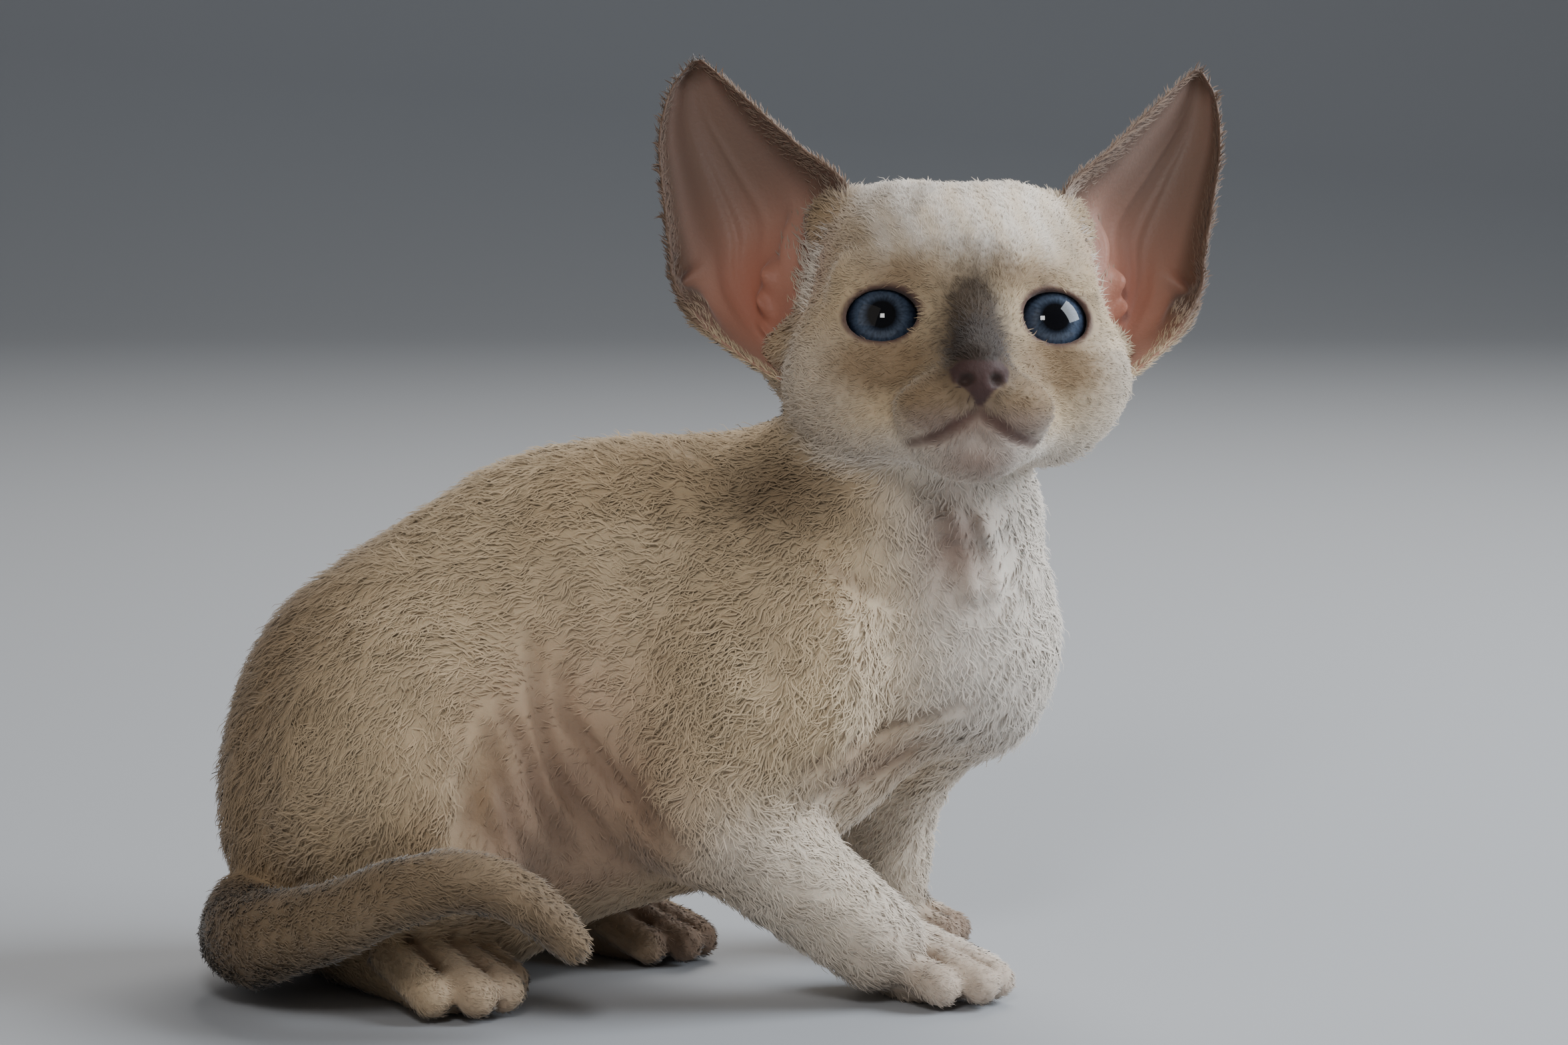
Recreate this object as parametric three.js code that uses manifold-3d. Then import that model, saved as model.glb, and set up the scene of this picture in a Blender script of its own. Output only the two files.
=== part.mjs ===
// A young devon rex cat, eight weeks old, crouched on its hips with its head turned to its right.
// Millimetres, +Z up. The hips face +X, the left side is towards +Y, and the paws rest at Z = 0.
// The body is one smooth surface, the zero level of a distance field blended from named bones and
// muscles. It is turned into triangles region by region, and parted with thin cuts.
import * as THREE from "three";
import { mergeVertices } from "three/addons/utils/BufferGeometryUtils.js";
import Module from "manifold-3d";

const wasm = await Module();
wasm.setup();

// Driving dimensions
const CUT_GAP = 0.3; // between two nodes that meet
const FLOOR_SINK = 1.2; // how deep the soles reach before the floor trims them flat
const EYE_RADIUS = 8;
const EYE_GAP = 0.35; // round the eyeball in its socket
const EAR_THICKNESS = 1.7;
const TAIL_CLEAR = 0.7; // between the tail and the body it lies against
const PAW_CELL = 3; // sampling steps, finest on the paws and the face
const HEAD_CELL = 3;
const LEG_CELL = 4.6;
const TORSO_CELL = 4.8;
const TAIL_CELL = 3.2;
const SLACK = { head: 0.24, trunk: 0.14, leg: 0.16, paw: 0.14, tail: 0.16, seat: 0.05 }; // lost by thinning
const TAIL_CUTS = [0.4, 0.7]; // places along the tail
const EAR_SEAT = 0.45; // between an ear and the skull

// Landmarks of the skeleton
const HEAD_AT = [30.8, 5.2, 119.2];
const HEAD_TURN = { yaw: 27, pitch: 16, roll: -1.3 };
const CHEST_TURN = -26;

const radians = THREE.MathUtils.degToRad;
const mix = (a, b, t) => a + (b - a) * t;
const clamp = THREE.MathUtils.clamp;

// Distance fields: each form takes a point and gives its signed distance, negative inside

// A limb-like form from a to b whose radius goes from ra to rb.
function taper(a, b, ra, rb) {
  const d = [b[0] - a[0], b[1] - a[1], b[2] - a[2]];
  const length2 = d[0] ** 2 + d[1] ** 2 + d[2] ** 2;
  return (x, y, z) => {
    const px = x - a[0], py = y - a[1], pz = z - a[2];
    const t = clamp((px * d[0] + py * d[1] + pz * d[2]) / length2, 0, 1);
    return Math.hypot(px - d[0] * t, py - d[1] * t, pz - d[2] * t) - mix(ra, rb, t);
  };
}

// An ellipsoid turned by yaw about Z and then tipped nose down by pitch.
function mass(c, r, yaw = 0, pitch = 0) {
  const cy = Math.cos(radians(yaw)), sy = Math.sin(radians(yaw));
  const cp = Math.cos(radians(pitch)), sp = Math.sin(radians(pitch));
  return (x, y, z) => {
    const dx = x - c[0], dy = y - c[1], dz = z - c[2];
    const ex = dx * cy + dy * sy, ey = dy * cy - dx * sy;
    const fx = ex * cp - dz * sp, fz = dz * cp + ex * sp;
    const k0 = Math.hypot(fx / r[0], ey / r[1], fz / r[2]);
    const k1 = Math.hypot(fx / r[0] ** 2, ey / r[1] ** 2, fz / r[2] ** 2);
    return k1 < 1e-9 ? -Math.min(...r) : (k0 * (k0 - 1)) / k1;
  };
}

// The union of two distances, rounded over about `soft` millimetres where they meet.
function merged(a, b, soft) {
  const h = Math.max(soft - Math.abs(a - b), 0) / soft;
  return Math.min(a, b) - (h * h * soft) / 4;
}

// Joins [form, soft] pairs one after another.
function blend(pairs) {
  return (x, y, z) => {
    let d = pairs[0][0](x, y, z);
    for (let i = 1; i < pairs.length; i++) d = merged(d, pairs[i][0](x, y, z), pairs[i][1]);
    return d;
  };
}

// Head, in its own frame: x to the nose, y to the left ear, z up, from the middle of the skull
const headMatrix = (() => {
  const yaw = radians(HEAD_TURN.yaw), pitch = radians(HEAD_TURN.pitch), roll = radians(HEAD_TURN.roll);
  const level = Math.cos(pitch);
  const forward = new THREE.Vector3(Math.sin(yaw) * level, -Math.cos(yaw) * level, Math.sin(pitch));
  const left = new THREE.Vector3(Math.cos(yaw), Math.sin(yaw), Math.sin(roll));
  left.addScaledVector(forward, -left.dot(forward)).normalize();
  const up = new THREE.Vector3().crossVectors(forward, left);
  return new THREE.Matrix4().makeBasis(forward, left, up).setPosition(...HEAD_AT);
})();
const headInverse = headMatrix.clone().invert();
const EYE_AT = [13.2, 14.2, 1.2];
const EYE_AXIS = new THREE.Vector3(0.98, 0.14, 0.06).normalize();
const EYE_OPENING = [6.3, 4.7]; // half its width and height

const headForms = blend([
  [mass([-5, 0, 5], [29, 25.5, 23.5]), 1],
  [mass([8, 0, 9], [17, 19, 18]), 8],
  [mass([-3, 11, 12.5], [19, 13, 17]), 8],
  [mass([2, 17.6, -7], [19, 14, 14.2]), 8],
  [taper([2, 14, -10], [21, 6, -18.5], 10, 7), 6],
  [taper([12, 0, -8], [25.5, 0, -15], 15, 8.5), 6],
  [taper([14, 0, 4], [32, 0, -9], 8.5, 4.8), 6],
  [mass([26.5, 6.4, -15.8], [8, 7.8, 5.8]), 4],
  [mass([24.5, 0, -24], [6.4, 7, 4.6]), 4],
  [mass([33.6, 0, -12], [4, 5.2, 4.4]), 2],
  [taper([19.5, 7, 9.4], [14.5, 19, 9], 4, 4), 5],
  [mass(EYE_AT, [8.8, 9.6, 9]), 3],
  [taper([-7, 18, 2.5], [-11, 26.4, 0], 10.4, 8), 6],
  [taper([-5, 13, 19.5], [-6, 20, 23.5], 9, 6.5), 6],
]);
function head(x, y, z) {
  const e = headInverse.elements;
  const lx = e[0] * x + e[4] * y + e[8] * z + e[12];
  const ly = e[1] * x + e[5] * y + e[9] * z + e[13];
  const lz = e[2] * x + e[6] * y + e[10] * z + e[14];
  return headForms(lx, Math.abs(ly), lz);
}

// Paws: four toes side by side in front of a flat sole. `at` is the middle of the sole's front half.
function paw(at, yaw, size, reach) {
  const c = Math.cos(radians(yaw)), s = Math.sin(radians(yaw));
  const place = (x, y, z) => [at[0] + x * c - y * s, at[1] + x * s + y * c, z];
  const toes = [-8, -2.8, 2.8, 8].map((side) => {
    const ahead = Math.abs(side) < 4 ? 4 : -1;
    const root = place((ahead - 9) * size, side * 0.82 * size, 9.2 * size);
    const tip = place((ahead + 4) * size, side * size, 5 * size - FLOOR_SINK / 2);
    return [taper(root, tip, 3.8 * size, 4 * size), 1];
  });
  const palm = taper(place(-reach, 0, 7.6 * size), place(-7 * size, 0, 6.2 * size), 7.8 * size, 7.6 * size);
  const pad = mass(place(-3 * size, 0, 3.2), [8 * size, 7.6 * size, 4.2], yaw);
  return blend([[palm, 1], [pad, 3], ...toes]);
}

// Trunk and limbs
const body = {
  rump: [mass([-65, -12, 41], [41, 31, 41.4]), 1],
  tailHead: [mass([-84, -17, 27], [20, 18, 27.4]), 10],
  loin: [mass([-40, -6, 61], [38, 26, 39]), 14],
  belly: [mass([-28, -3, 46], [34, 26, 30]), 12],
  ribs: [mass([-5, 8, 62], [32, 25, 37], CHEST_TURN / 2), 14],
  withers: [taper([-24, -1, 80], [2, 9, 83], 21, 19), 12],
  chest: [taper([22, 15, 86], [24, 16, 66], 22, 21.5), 12],
  shoulderRight: [mass([4, -10, 67], [20, 14.5, 28], CHEST_TURN, -10), 7],
  tricepsRight: [mass([-7, -15, 56], [17, 12.5, 22], CHEST_TURN), 5],
  shoulderLeft: [mass([30, 24, 62], [13, 13, 19], CHEST_TURN), 8],
  neck: [taper([10, 11, 86], [23, 8, 108], 22, 18), 10],
  thighRight: [mass([-58, -32, 43], [29, 17, 30], 0, 18), 6],
  kneeRight: [taper([-54, -38, 42], [-44, -41, 34], 14, 11), 7],
  shankRight: [taper([-46, -39, 29], [-76, -33, 13], 10, 7.5), 4],
  thighLeft: [mass([-54, 9, 44], [29, 15, 27], 0, 18), 9],
  kneeLeft: [taper([-46, 16, 38], [-34, 18, 30], 13, 10), 8],
  shankLeft: [taper([-36, 17, 26], [-58, 15, 12], 9.5, 7.5), 4],
  armRight: [taper([0, -15, 56], [-7, -21, 39], 17, 13), 9],
  forearmRight: [taper([-7, -21, 38], [18, -2, 12], 13.2, 10), 6],
  armLeft: [taper([24, 28, 54], [9, 33, 38], 13, 11.5), 8],
  forearmLeft: [taper([8, 34, 38], [5, 39, 12], 11, 8.6), 6],
};
const paws = {
  forepaw_right: { at: [30.4, 5, 0], yaw: -10, size: 1, reach: 12, blend: 3 },
  forepaw_left: { at: [9, 41, 0], yaw: 0, size: 1, reach: 8, blend: 4 },
  hindpaw_right: { at: [-48.4, -36.6, 0], yaw: -24, size: 1.1, reach: 30, blend: 3 },
  hindpaw_left: { at: [-33, 17, 0], yaw: -8, size: 0.98, reach: 28, blend: 3 },
};
const pawForms = Object.values(paws).map((p) => [paw(p.at, p.yaw, p.size, p.reach), p.blend]);
const trunk = blend(Object.values(body));
const smoothCoat = blend([[trunk, 1], ...pawForms]);

// The wavy coat: low rounded clumps across the lie of the hair on neck, back, shoulders and thighs.
const WAVE = { height: 0.5, along: 11, across: 15 };
function wave(x, y, z) {
  const along = (0.8 * x + 0.55 * z) / WAVE.along;
  const across = (0.75 * z - 0.5 * x + 0.6 * y) / WAVE.across;
  const turn = 2 * Math.PI;
  const crest = Math.sin(turn * along + 1.7 * Math.sin(turn * across));
  const where = THREE.MathUtils.smoothstep(z, 30, 48);
  return WAVE.height * where * crest * (0.75 + 0.25 * Math.cos(turn * across * 0.5));
}
const headless = (x, y, z) => smoothCoat(x, y, z) - wave(x, y, z);
const whole = (x, y, z) => merged(headless(x, y, z), head(x, y, z), 6);

// Tail: it comes off the back of the rump, lies round the right hip and over the hind foot
const TAIL_PATH = [
  [-86, -18, 22], [-92, -30, 13.5], [-87, -43, 12], [-76, -53, 15.5], [-61, -59, 20.5],
  [-47, -62, 27], [-35, -60, 29.5], [-26, -55.5, 26], [-20, -50, 18],
];
const TAIL_RADII = [10.5, 10, 9.6, 8.4, 7.3, 6.6, 6, 5.4, 4.3];
const tailCurve = new THREE.CatmullRomCurve3(TAIL_PATH.map((p) => new THREE.Vector3(...p)), false, "chordal");
function tailField() {
  const steps = 30;
  const radiusAt = (t) => {
    const s = t * (TAIL_RADII.length - 1);
    const i = Math.min(Math.floor(s), TAIL_RADII.length - 2);
    return mix(TAIL_RADII[i], TAIL_RADII[i + 1], s - i);
  };
  const parts = [];
  for (let i = 0; i < steps; i++) {
    const from = i / steps;
    const to = (i + 1) / steps;
    const ends = [from, to].map((t) => tailCurve.getPoint(t).toArray());
    parts.push(taper(...ends, radiusAt(from), radiusAt(to)));
  }
  return (x, y, z) => {
    let d = Infinity;
    for (const part of parts) d = Math.min(d, part(x, y, z));
    return Math.max(d, TAIL_CLEAR - headless(x, y, z));
  };
}

// Triangles

// The zero level of a field inside a box, as a closed surface: one vertex in each cell that the
// surface crosses, moved onto it, and one quad for each crossed grid edge.
function surfaceOf(field, low, high, cell, level = 0) {
  const n = low.map((v, i) => Math.ceil((high[i] - v) / cell) + 1);
  const at = (i, j, k) => (k * n[1] + j) * n[0] + i;
  const values = new Float64Array(n[0] * n[1] * n[2]);
  for (let k = 0; k < n[2]; k++)
    for (let j = 0; j < n[1]; j++)
      for (let i = 0; i < n[0]; i++) {
        const edge = !i || !j || !k || i === n[0] - 1 || j === n[1] - 1 || k === n[2] - 1;
        const v = field(low[0] + i * cell, low[1] + j * cell, low[2] + k * cell) - level;
        values[at(i, j, k)] = edge ? Math.max(v, 0.3 * cell) : v || 1e-6;
      }
  joinDiagonals(values, n, at, cell);
  const steps = [at(1, 0, 0), at(0, 1, 0), at(0, 0, 1)];
  const corners = Array.from({ length: 8 }, (_, c) => [c & 1, (c >> 1) & 1, c >> 2]);
  const edges = corners.flatMap((_, a) => [1, 2, 4].filter((bit) => !(a & bit)).map((bit) => [a, a | bit]));
  const vertexIn = new Map();
  const points = [];
  for (let k = 0; k < n[2] - 1; k++)
    for (let j = 0; j < n[1] - 1; j++)
      for (let i = 0; i < n[0] - 1; i++) {
        const v = corners.map(([a, b, c]) => values[at(i + a, j + b, k + c)]);
        if (v.every((x) => x > 0) || v.every((x) => x < 0)) continue;
        const sum = [0, 0, 0];
        let count = 0;
        for (const [a, b] of edges) {
          if (v[a] > 0 === v[b] > 0) continue;
          const t = v[a] / (v[a] - v[b]);
          for (let q = 0; q < 3; q++) sum[q] += mix(corners[a][q], corners[b][q], t);
          count++;
        }
        const cellAt = [i, j, k];
        const p = sum.map((s, q) => low[q] + (cellAt[q] + s / count) * cell);
        vertexIn.set(at(i, j, k), points.length);
        points.push(ontoSurface(field, p, cell * 0.3, level));
      }
  const faces = [];
  for (let k = 0; k < n[2] - 1; k++)
    for (let j = 0; j < n[1] - 1; j++)
      for (let i = 0; i < n[0] - 1; i++) {
        const here = values[at(i, j, k)];
        const cell0 = at(i, j, k);
        for (const [axis, u, w] of [[0, 1, 2], [1, 2, 0], [2, 0, 1]]) {
          const inside = [i, j, k][u] && [i, j, k][w];
          const there = values[cell0 + steps[axis]];
          if (!inside || here > 0 === there > 0) continue;
          const cells = [cell0 - steps[u] - steps[w], cell0 - steps[w], cell0, cell0 - steps[u]];
          const q = cells.map((c) => vertexIn.get(c));
          if (here > 0) q.reverse();
          const short = apart(points[q[0]], points[q[2]]) < apart(points[q[1]], points[q[3]]);
          faces.push(short ? [q[0], q[1], q[2]] : [q[0], q[1], q[3]]);
          faces.push(short ? [q[0], q[2], q[3]] : [q[1], q[2], q[3]]);
        }
      }
  return { points, faces };
}

// Where only two opposite corners of a grid square are inside, a third is taken in as well, so that
// no edge of the surface is shared by four faces.
function joinDiagonals(values, n, at, cell) {
  const steps = [at(1, 0, 0), at(0, 1, 0), at(0, 0, 1)];
  let changed = true;
  for (let pass = 0; changed && pass < 6; pass++) {
    changed = false;
    for (let k = 1; k < n[2] - 2; k++)
      for (let j = 1; j < n[1] - 2; j++)
        for (let i = 1; i < n[0] - 2; i++)
          for (const [s, t] of [[0, 1], [1, 2], [0, 2]]) {
            const a = at(i, j, k), b = a + steps[s], c = a + steps[t], d = b + steps[t];
            const [ina, inb, inc, ind] = [a, b, c, d].map((q) => values[q] < 0);
            if (ina !== ind || inb !== inc || ina === inb) continue;
            const open = ina ? [b, c] : [a, d];
            values[values[open[0]] < values[open[1]] ? open[0] : open[1]] = -0.05 * cell;
            changed = true;
          }
  }
}

const apart = (a, b) => Math.hypot(a[0] - b[0], a[1] - b[1], a[2] - b[2]);

function slopeOf(field, [x, y, z], step = 0.05) {
  return [
    (field(x + step, y, z) - field(x - step, y, z)) / (2 * step),
    (field(x, y + step, z) - field(x, y - step, z)) / (2 * step),
    (field(x, y, z + step) - field(x, y, z - step)) / (2 * step),
  ];
}

// Moves a point along the field's slope until it is on the surface, by at most `limit`.
function ontoSurface(field, p, limit, level = 0) {
  const g = slopeOf(field, p);
  const size2 = g[0] ** 2 + g[1] ** 2 + g[2] ** 2;
  if (size2 < 1e-4) return p;
  const wanted = (field(...p) - level) / Math.sqrt(size2);
  const move = clamp(wanted, -limit, limit) / Math.sqrt(size2);
  return p.map((v, i) => v - g[i] * move);
}

// Takes out edges where the surface is nearly flat. An edge goes if no face turns over, the surface
// stays closed, and the new corner lies within `slack` of the planes of the faces round it.
function thinned({ points, faces }, slack, longest) {
  const around = points.map(() => new Set());
  faces.forEach((f, i) => f.forEach((v) => around[v].add(i)));
  const normalOf = (f, moved, to) => {
    const [a, b, c] = f.map((v) => (moved.includes(v) ? to : points[v]));
    const u = [b[0] - a[0], b[1] - a[1], b[2] - a[2]], w = [c[0] - a[0], c[1] - a[1], c[2] - a[2]];
    const n = [u[1] * w[2] - u[2] * w[1], u[2] * w[0] - u[0] * w[2], u[0] * w[1] - u[1] * w[0]];
    const size = Math.hypot(...n) || 1e-12;
    const longestSide = Math.max(apart(a, b), apart(b, c), apart(c, a));
    return { n: n.map((v) => v / size), a, height: size / longestSide, longestSide };
  };
  const neighbours = (v) => {
    const out = new Set();
    for (const f of around[v]) for (const w of faces[f]) if (w !== v) out.add(w);
    return out;
  };
  const priced = (a, b) => {
    const to = points[a].map((v, i) => (v + points[b][i]) / 2);
    let worst = 0;
    for (const f of new Set([...around[a], ...around[b]])) {
      const old = normalOf(faces[f], [], to);
      worst = Math.max(worst, Math.abs(old.n.reduce((s, v, i) => s + v * (to[i] - old.a[i]), 0)));
      if (faces[f].includes(a) && faces[f].includes(b)) continue;
      const made = normalOf(faces[f], [a, b], to);
      if (made.n.reduce((s, v, i) => s + v * old.n[i], 0) < 0.75) return null;
      if (made.height < 0.12 * made.longestSide || made.longestSide > longest) return null;
    }
    return { a, b, to, worst };
  };
  for (let pass = 0; pass < 12; pass++) {
    const seen = new Set(), edges = [];
    faces.forEach((f) => {
      if (!f) return;
      for (let q = 0; q < 3; q++) {
        const a = Math.min(f[q], f[(q + 1) % 3]), b = Math.max(f[q], f[(q + 1) % 3]);
        const key = a * points.length + b;
        if (seen.has(key)) continue;
        seen.add(key);
        const edge = priced(a, b);
        if (edge && edge.worst < slack) edges.push(edge);
      }
    });
    edges.sort((p, q) => p.worst - q.worst);
    const touched = new Set();
    let gone = 0;
    for (const { a, b, to } of edges) {
      const na = neighbours(a), nb = neighbours(b);
      const shared = [...na].filter((v) => nb.has(v));
      if (shared.length !== 2 || [...na, ...nb].some((v) => touched.has(v))) continue;
      points[a] = to;
      for (const f of [...around[b]]) {
        if (faces[f].includes(a)) {
          faces[f].forEach((v) => around[v].delete(f));
          faces[f] = null;
        } else {
          faces[f] = faces[f].map((v) => (v === b ? a : v));
          around[a].add(f);
        }
      }
      around[b].clear();
      for (const v of [...na, ...nb, a, b]) touched.add(v);
      gone++;
    }
    if (gone < 5) break;
  }
  return { points, faces: faces.filter(Boolean) };
}

// The box round a paw.
function pawBox({ at, reach, size }) {
  const r = reach + 16 * size;
  return [[at[0] - r, at[1] - r, -6], [at[0] + r, at[1] + r, 24]];
}

// Solids

function solidOf({ points, faces }) {
  return new wasm.Manifold(
    new wasm.Mesh({
      numProp: 3,
      vertProperties: new Float32Array(points.flat()),
      triVerts: new Uint32Array(faces.flat()),
    }),
  );
}

function solidOfGeometry(geometry, matrix = new THREE.Matrix4()) {
  const g = geometry.clone().applyMatrix4(matrix);
  g.deleteAttribute("normal");
  g.deleteAttribute("uv");
  const m = mergeVertices(g, 1e-4);
  return new wasm.Manifold(
    new wasm.Mesh({
      numProp: 3,
      vertProperties: new Float32Array(m.attributes.position.array),
      triVerts: new Uint32Array(m.index.array),
    }),
  );
}

// The largest closed surface of a solid.
function largest(solid) {
  const pieces = solid.decompose().sort((a, b) => b.volume() - a.volume());
  return pieces[0];
}

// A block from its lowest to its highest corner, turned by yaw about its middle.
function block(low, high, yaw = 0, grow = 0) {
  const size = low.map((v, i) => high[i] - v + 2 * grow);
  const middle = low.map((v, i) => (v + high[i]) / 2);
  const turn = new THREE.Matrix4().makeRotationZ(radians(yaw));
  return solidOfGeometry(new THREE.BoxGeometry(...size), turn.setPosition(...middle));
}

// The half of space that lies ahead of a plane, as a large block.
function ahead(point, normal, gap = 0) {
  const reach = 400;
  const z = new THREE.Vector3(...normal).normalize();
  const turn = new THREE.Quaternion().setFromUnitVectors(new THREE.Vector3(0, 0, 1), z);
  const middle = new THREE.Vector3(...point).addScaledVector(z, reach / 2 + gap);
  const m = new THREE.Matrix4().compose(middle, turn, new THREE.Vector3(1, 1, 1));
  return solidOfGeometry(new THREE.BoxGeometry(reach, reach, reach), m);
}

function region(field, low, high, cell, slack, longest, level = 0) {
  return solidOf(thinned(surfaceOf(field, low, high, cell, level), slack, longest));
}

// A closed tube through points, with a radius at each, in the frame given.
function tube(points, radii, sides = 6, matrix = new THREE.Matrix4()) {
  const curve = new THREE.CatmullRomCurve3(points.map((p) => new THREE.Vector3(...p)));
  const steps = points.length * 2;
  const frames = curve.computeFrenetFrames(steps, false);
  const rings = [];
  for (let i = 0; i <= steps; i++) {
    const s = (i / steps) * (radii.length - 1);
    const k = Math.min(Math.floor(s), radii.length - 2);
    const r = mix(radii[k], radii[k + 1], s - k);
    const c = curve.getPoint(i / steps);
    for (let j = 0; j < sides; j++) {
      const angle = (j / sides) * Math.PI * 2;
      const p = c.clone().addScaledVector(frames.normals[i], Math.cos(angle) * r);
      rings.push(p.addScaledVector(frames.binormals[i], Math.sin(angle) * r).applyMatrix4(matrix).toArray());
    }
  }
  const faces = [];
  for (let i = 0; i < steps; i++)
    for (let j = 0; j < sides; j++) {
      const a = i * sides + j, b = i * sides + ((j + 1) % sides);
      faces.push([a, b, b + sides], [a, b + sides, a + sides]);
    }
  for (let j = 1; j < sides - 1; j++) {
    faces.push([0, j + 1, j]);
    faces.push([steps * sides, steps * sides + j, steps * sides + j + 1]);
  }
  return solidOf({ points: rings, faces });
}

// Ears: a thin cupped shell between an inner and an outer edge, given in the head's frame
const EAR_INNER = [
  [1, 22, -2], [3, 23.5, 6], [1.5, 21, 19], [-1, 19, 29.5],
  [-4, 27.8, 38], [-7, 36.5, 46.8], [-9.5, 41.8, 52.3], [-10, 44.8, 55],
];
const EAR_OUTER = [
  [-2, 31, -6], [-3.5, 38.5, -1], [-6, 47.3, 6.5], [-8, 50, 16],
  [-9, 51.8, 30], [-10, 52.3, 40.5], [-10.4, 50.2, 49.3], [-10.6, 46.3, 54.8],
];
const EAR_CUP = [9, 14, 16, 15.5, 12, 8, 4, 0.3];
const EAR_BACK = new THREE.Vector3(-0.97, 0.12, 0.2);
const EAR_ROWS = 13;
const EAR_COLUMNS = 8;
// The left ear is turned a little further back: narrower, with its tip out.
const EAR_TURN = { from: 20, width: 0.87, out: 4, height: 50 };
function ear(side) {
  const inner = new THREE.CatmullRomCurve3(EAR_INNER.map((p) => new THREE.Vector3(...p)));
  const outer = new THREE.CatmullRomCurve3(EAR_OUTER.map((p) => new THREE.Vector3(...p)));
  const rows = EAR_ROWS;
  const columns = EAR_COLUMNS;
  const turned = (p) => {
    if (side < 0) return p;
    const out = EAR_TURN.out * (p.z / EAR_TURN.height) ** 2;
    p.y = EAR_TURN.from + EAR_TURN.width * (p.y - EAR_TURN.from) + out;
    return p;
  };
  const surface = (u, v) => {
    const a = inner.getPoint(v), b = outer.getPoint(v);
    const s = v * (EAR_CUP.length - 1);
    const k = Math.min(Math.floor(s), EAR_CUP.length - 2);
    const cup = mix(EAR_CUP[k], EAR_CUP[k + 1], s - k) * Math.sin(Math.PI * u) ** 0.8;
    return turned(a.lerp(b, u).addScaledVector(EAR_BACK, cup));
  };
  const normal = (u, v) => {
    const du = surface(Math.min(u + 0.02, 1), v).sub(surface(Math.max(u - 0.02, 0), v));
    const dv = surface(u, Math.min(v + 0.02, 1)).sub(surface(u, Math.max(v - 0.02, 0)));
    return dv.cross(du).normalize();
  };
  const points = [];
  for (const face of [0, 1])
    for (let j = 0; j <= rows; j++)
      for (let i = 0; i <= columns; i++) {
        const u = i / columns, v = j / rows;
        const thick = EAR_THICKNESS * mix(1, 0.45, v) * (0.45 + 0.55 * Math.sin(Math.PI * u));
        const p = surface(u, v).addScaledVector(normal(u, v), (face - 0.5) * thick);
        p.y *= side;
        points.push(p.applyMatrix4(headMatrix).toArray());
      }
  const width = columns + 1, count = width * (rows + 1);
  const faces = [];
  const quad = (a, b, c, d) => faces.push([a, b, c], [a, c, d]);
  for (let j = 0; j < rows; j++)
    for (let i = 0; i < columns; i++) {
      const a = j * width + i;
      quad(a, a + 1, a + 1 + width, a + width);
      quad(count + a, count + a + width, count + a + width + 1, count + a + 1);
    }
  const rim = [];
  for (let i = 0; i < columns; i++) rim.push(i);
  for (let j = 0; j < rows; j++) rim.push(j * width + columns);
  for (let i = columns; i > 0; i--) rim.push(rows * width + i);
  for (let j = rows; j > 0; j--) rim.push(j * width);
  rim.forEach((a, i) => quad(a, a + count, rim[(i + 1) % rim.length] + count, rim[(i + 1) % rim.length]));
  return solidOf({ points, faces: faces.map((f) => (side > 0 ? f : f.slice().reverse())) });
}

// The eyeball, and what is taken out of the head for it: a socket and the opening between the lids.
function eyeSpace(side) {
  const at = new THREE.Vector3(EYE_AT[0], EYE_AT[1] * side, EYE_AT[2]);
  const axis = EYE_AXIS.clone();
  axis.y *= side;
  const across = new THREE.Vector3(-axis.y, axis.x, 0).normalize();
  const up = new THREE.Vector3().crossVectors(axis, across);
  const frame = headMatrix.clone().multiply(new THREE.Matrix4().makeBasis(axis, across, up).setPosition(at));
  const ball = (r) => solidOfGeometry(new THREE.SphereGeometry(r, 16, 11).rotateZ(-Math.PI / 2), frame);
  const depth = 14;
  const oval = new THREE.CylinderGeometry(1, 1, depth, 20);
  oval.rotateZ(-Math.PI / 2).translate(depth / 2 + 1, 0, 0);
  oval.scale(1, EYE_OPENING[0], EYE_OPENING[1]);
  return { eyeball: ball(EYE_RADIUS), space: ball(EYE_RADIUS + EYE_GAP).add(solidOfGeometry(oval, frame)) };
}

// The line of the mouth and the nostrils, as thin solids to take out of the muzzle.
function muzzleLines() {
  const toLocal = (p) => new THREE.Vector3(...p).applyMatrix4(headMatrix).toArray();
  const seated = (p, sink) => {
    let q = toLocal(p);
    for (let i = 0; i < 6; i++) q = ontoSurface(head, q, 1, -sink);
    return q;
  };
  const lines = [1, -1].flatMap((side) => {
    const at = (p) => [p[0], p[1] * side, p[2]];
    const lips = [[34, 0, -18], [33, 3, -19.5], [31, 6, -21.4], [27, 9.8, -22.3], [22, 13, -22]];
    const nostril = [[38.4, 2, -12.6], [37.6, 3.4, -12.3], [36.2, 4.8, -11.4]];
    return [
      tube(lips.map((p) => seated(at(p), 0.1)), [0.5, 0.75, 0.75, 0.6, 0.3], 6),
      tube(nostril.map((p) => seated(at(p), 0.1)), [1.1, 0.9, 0.3], 6),
    ];
  });
  const philtrum = [[37, 0, -14.4], [36, 0, -16], [35, 0, -18]];
  lines.push(tube(philtrum.map((p) => seated(p, 0)), [0.45, 0.45, 0.5], 6));
  return lines;
}

// The planes that part head, neck and trunk
const THROAT = { point: [21, 7, 99], normal: [0.42, -0.36, 0.83] };
const COLLAR = { point: [13, 11, 88], normal: [0.3, -0.05, 0.94] };

// Everything stops at the floor.
const floor = block([-300, -300, 0], [300, 300, 400]);
const above = (plane, gap = 0) => ahead(plane.point, plane.normal, gap);
const below = (plane, gap = 0) => ahead(plane.point, plane.normal.map((v) => -v), gap);

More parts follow.
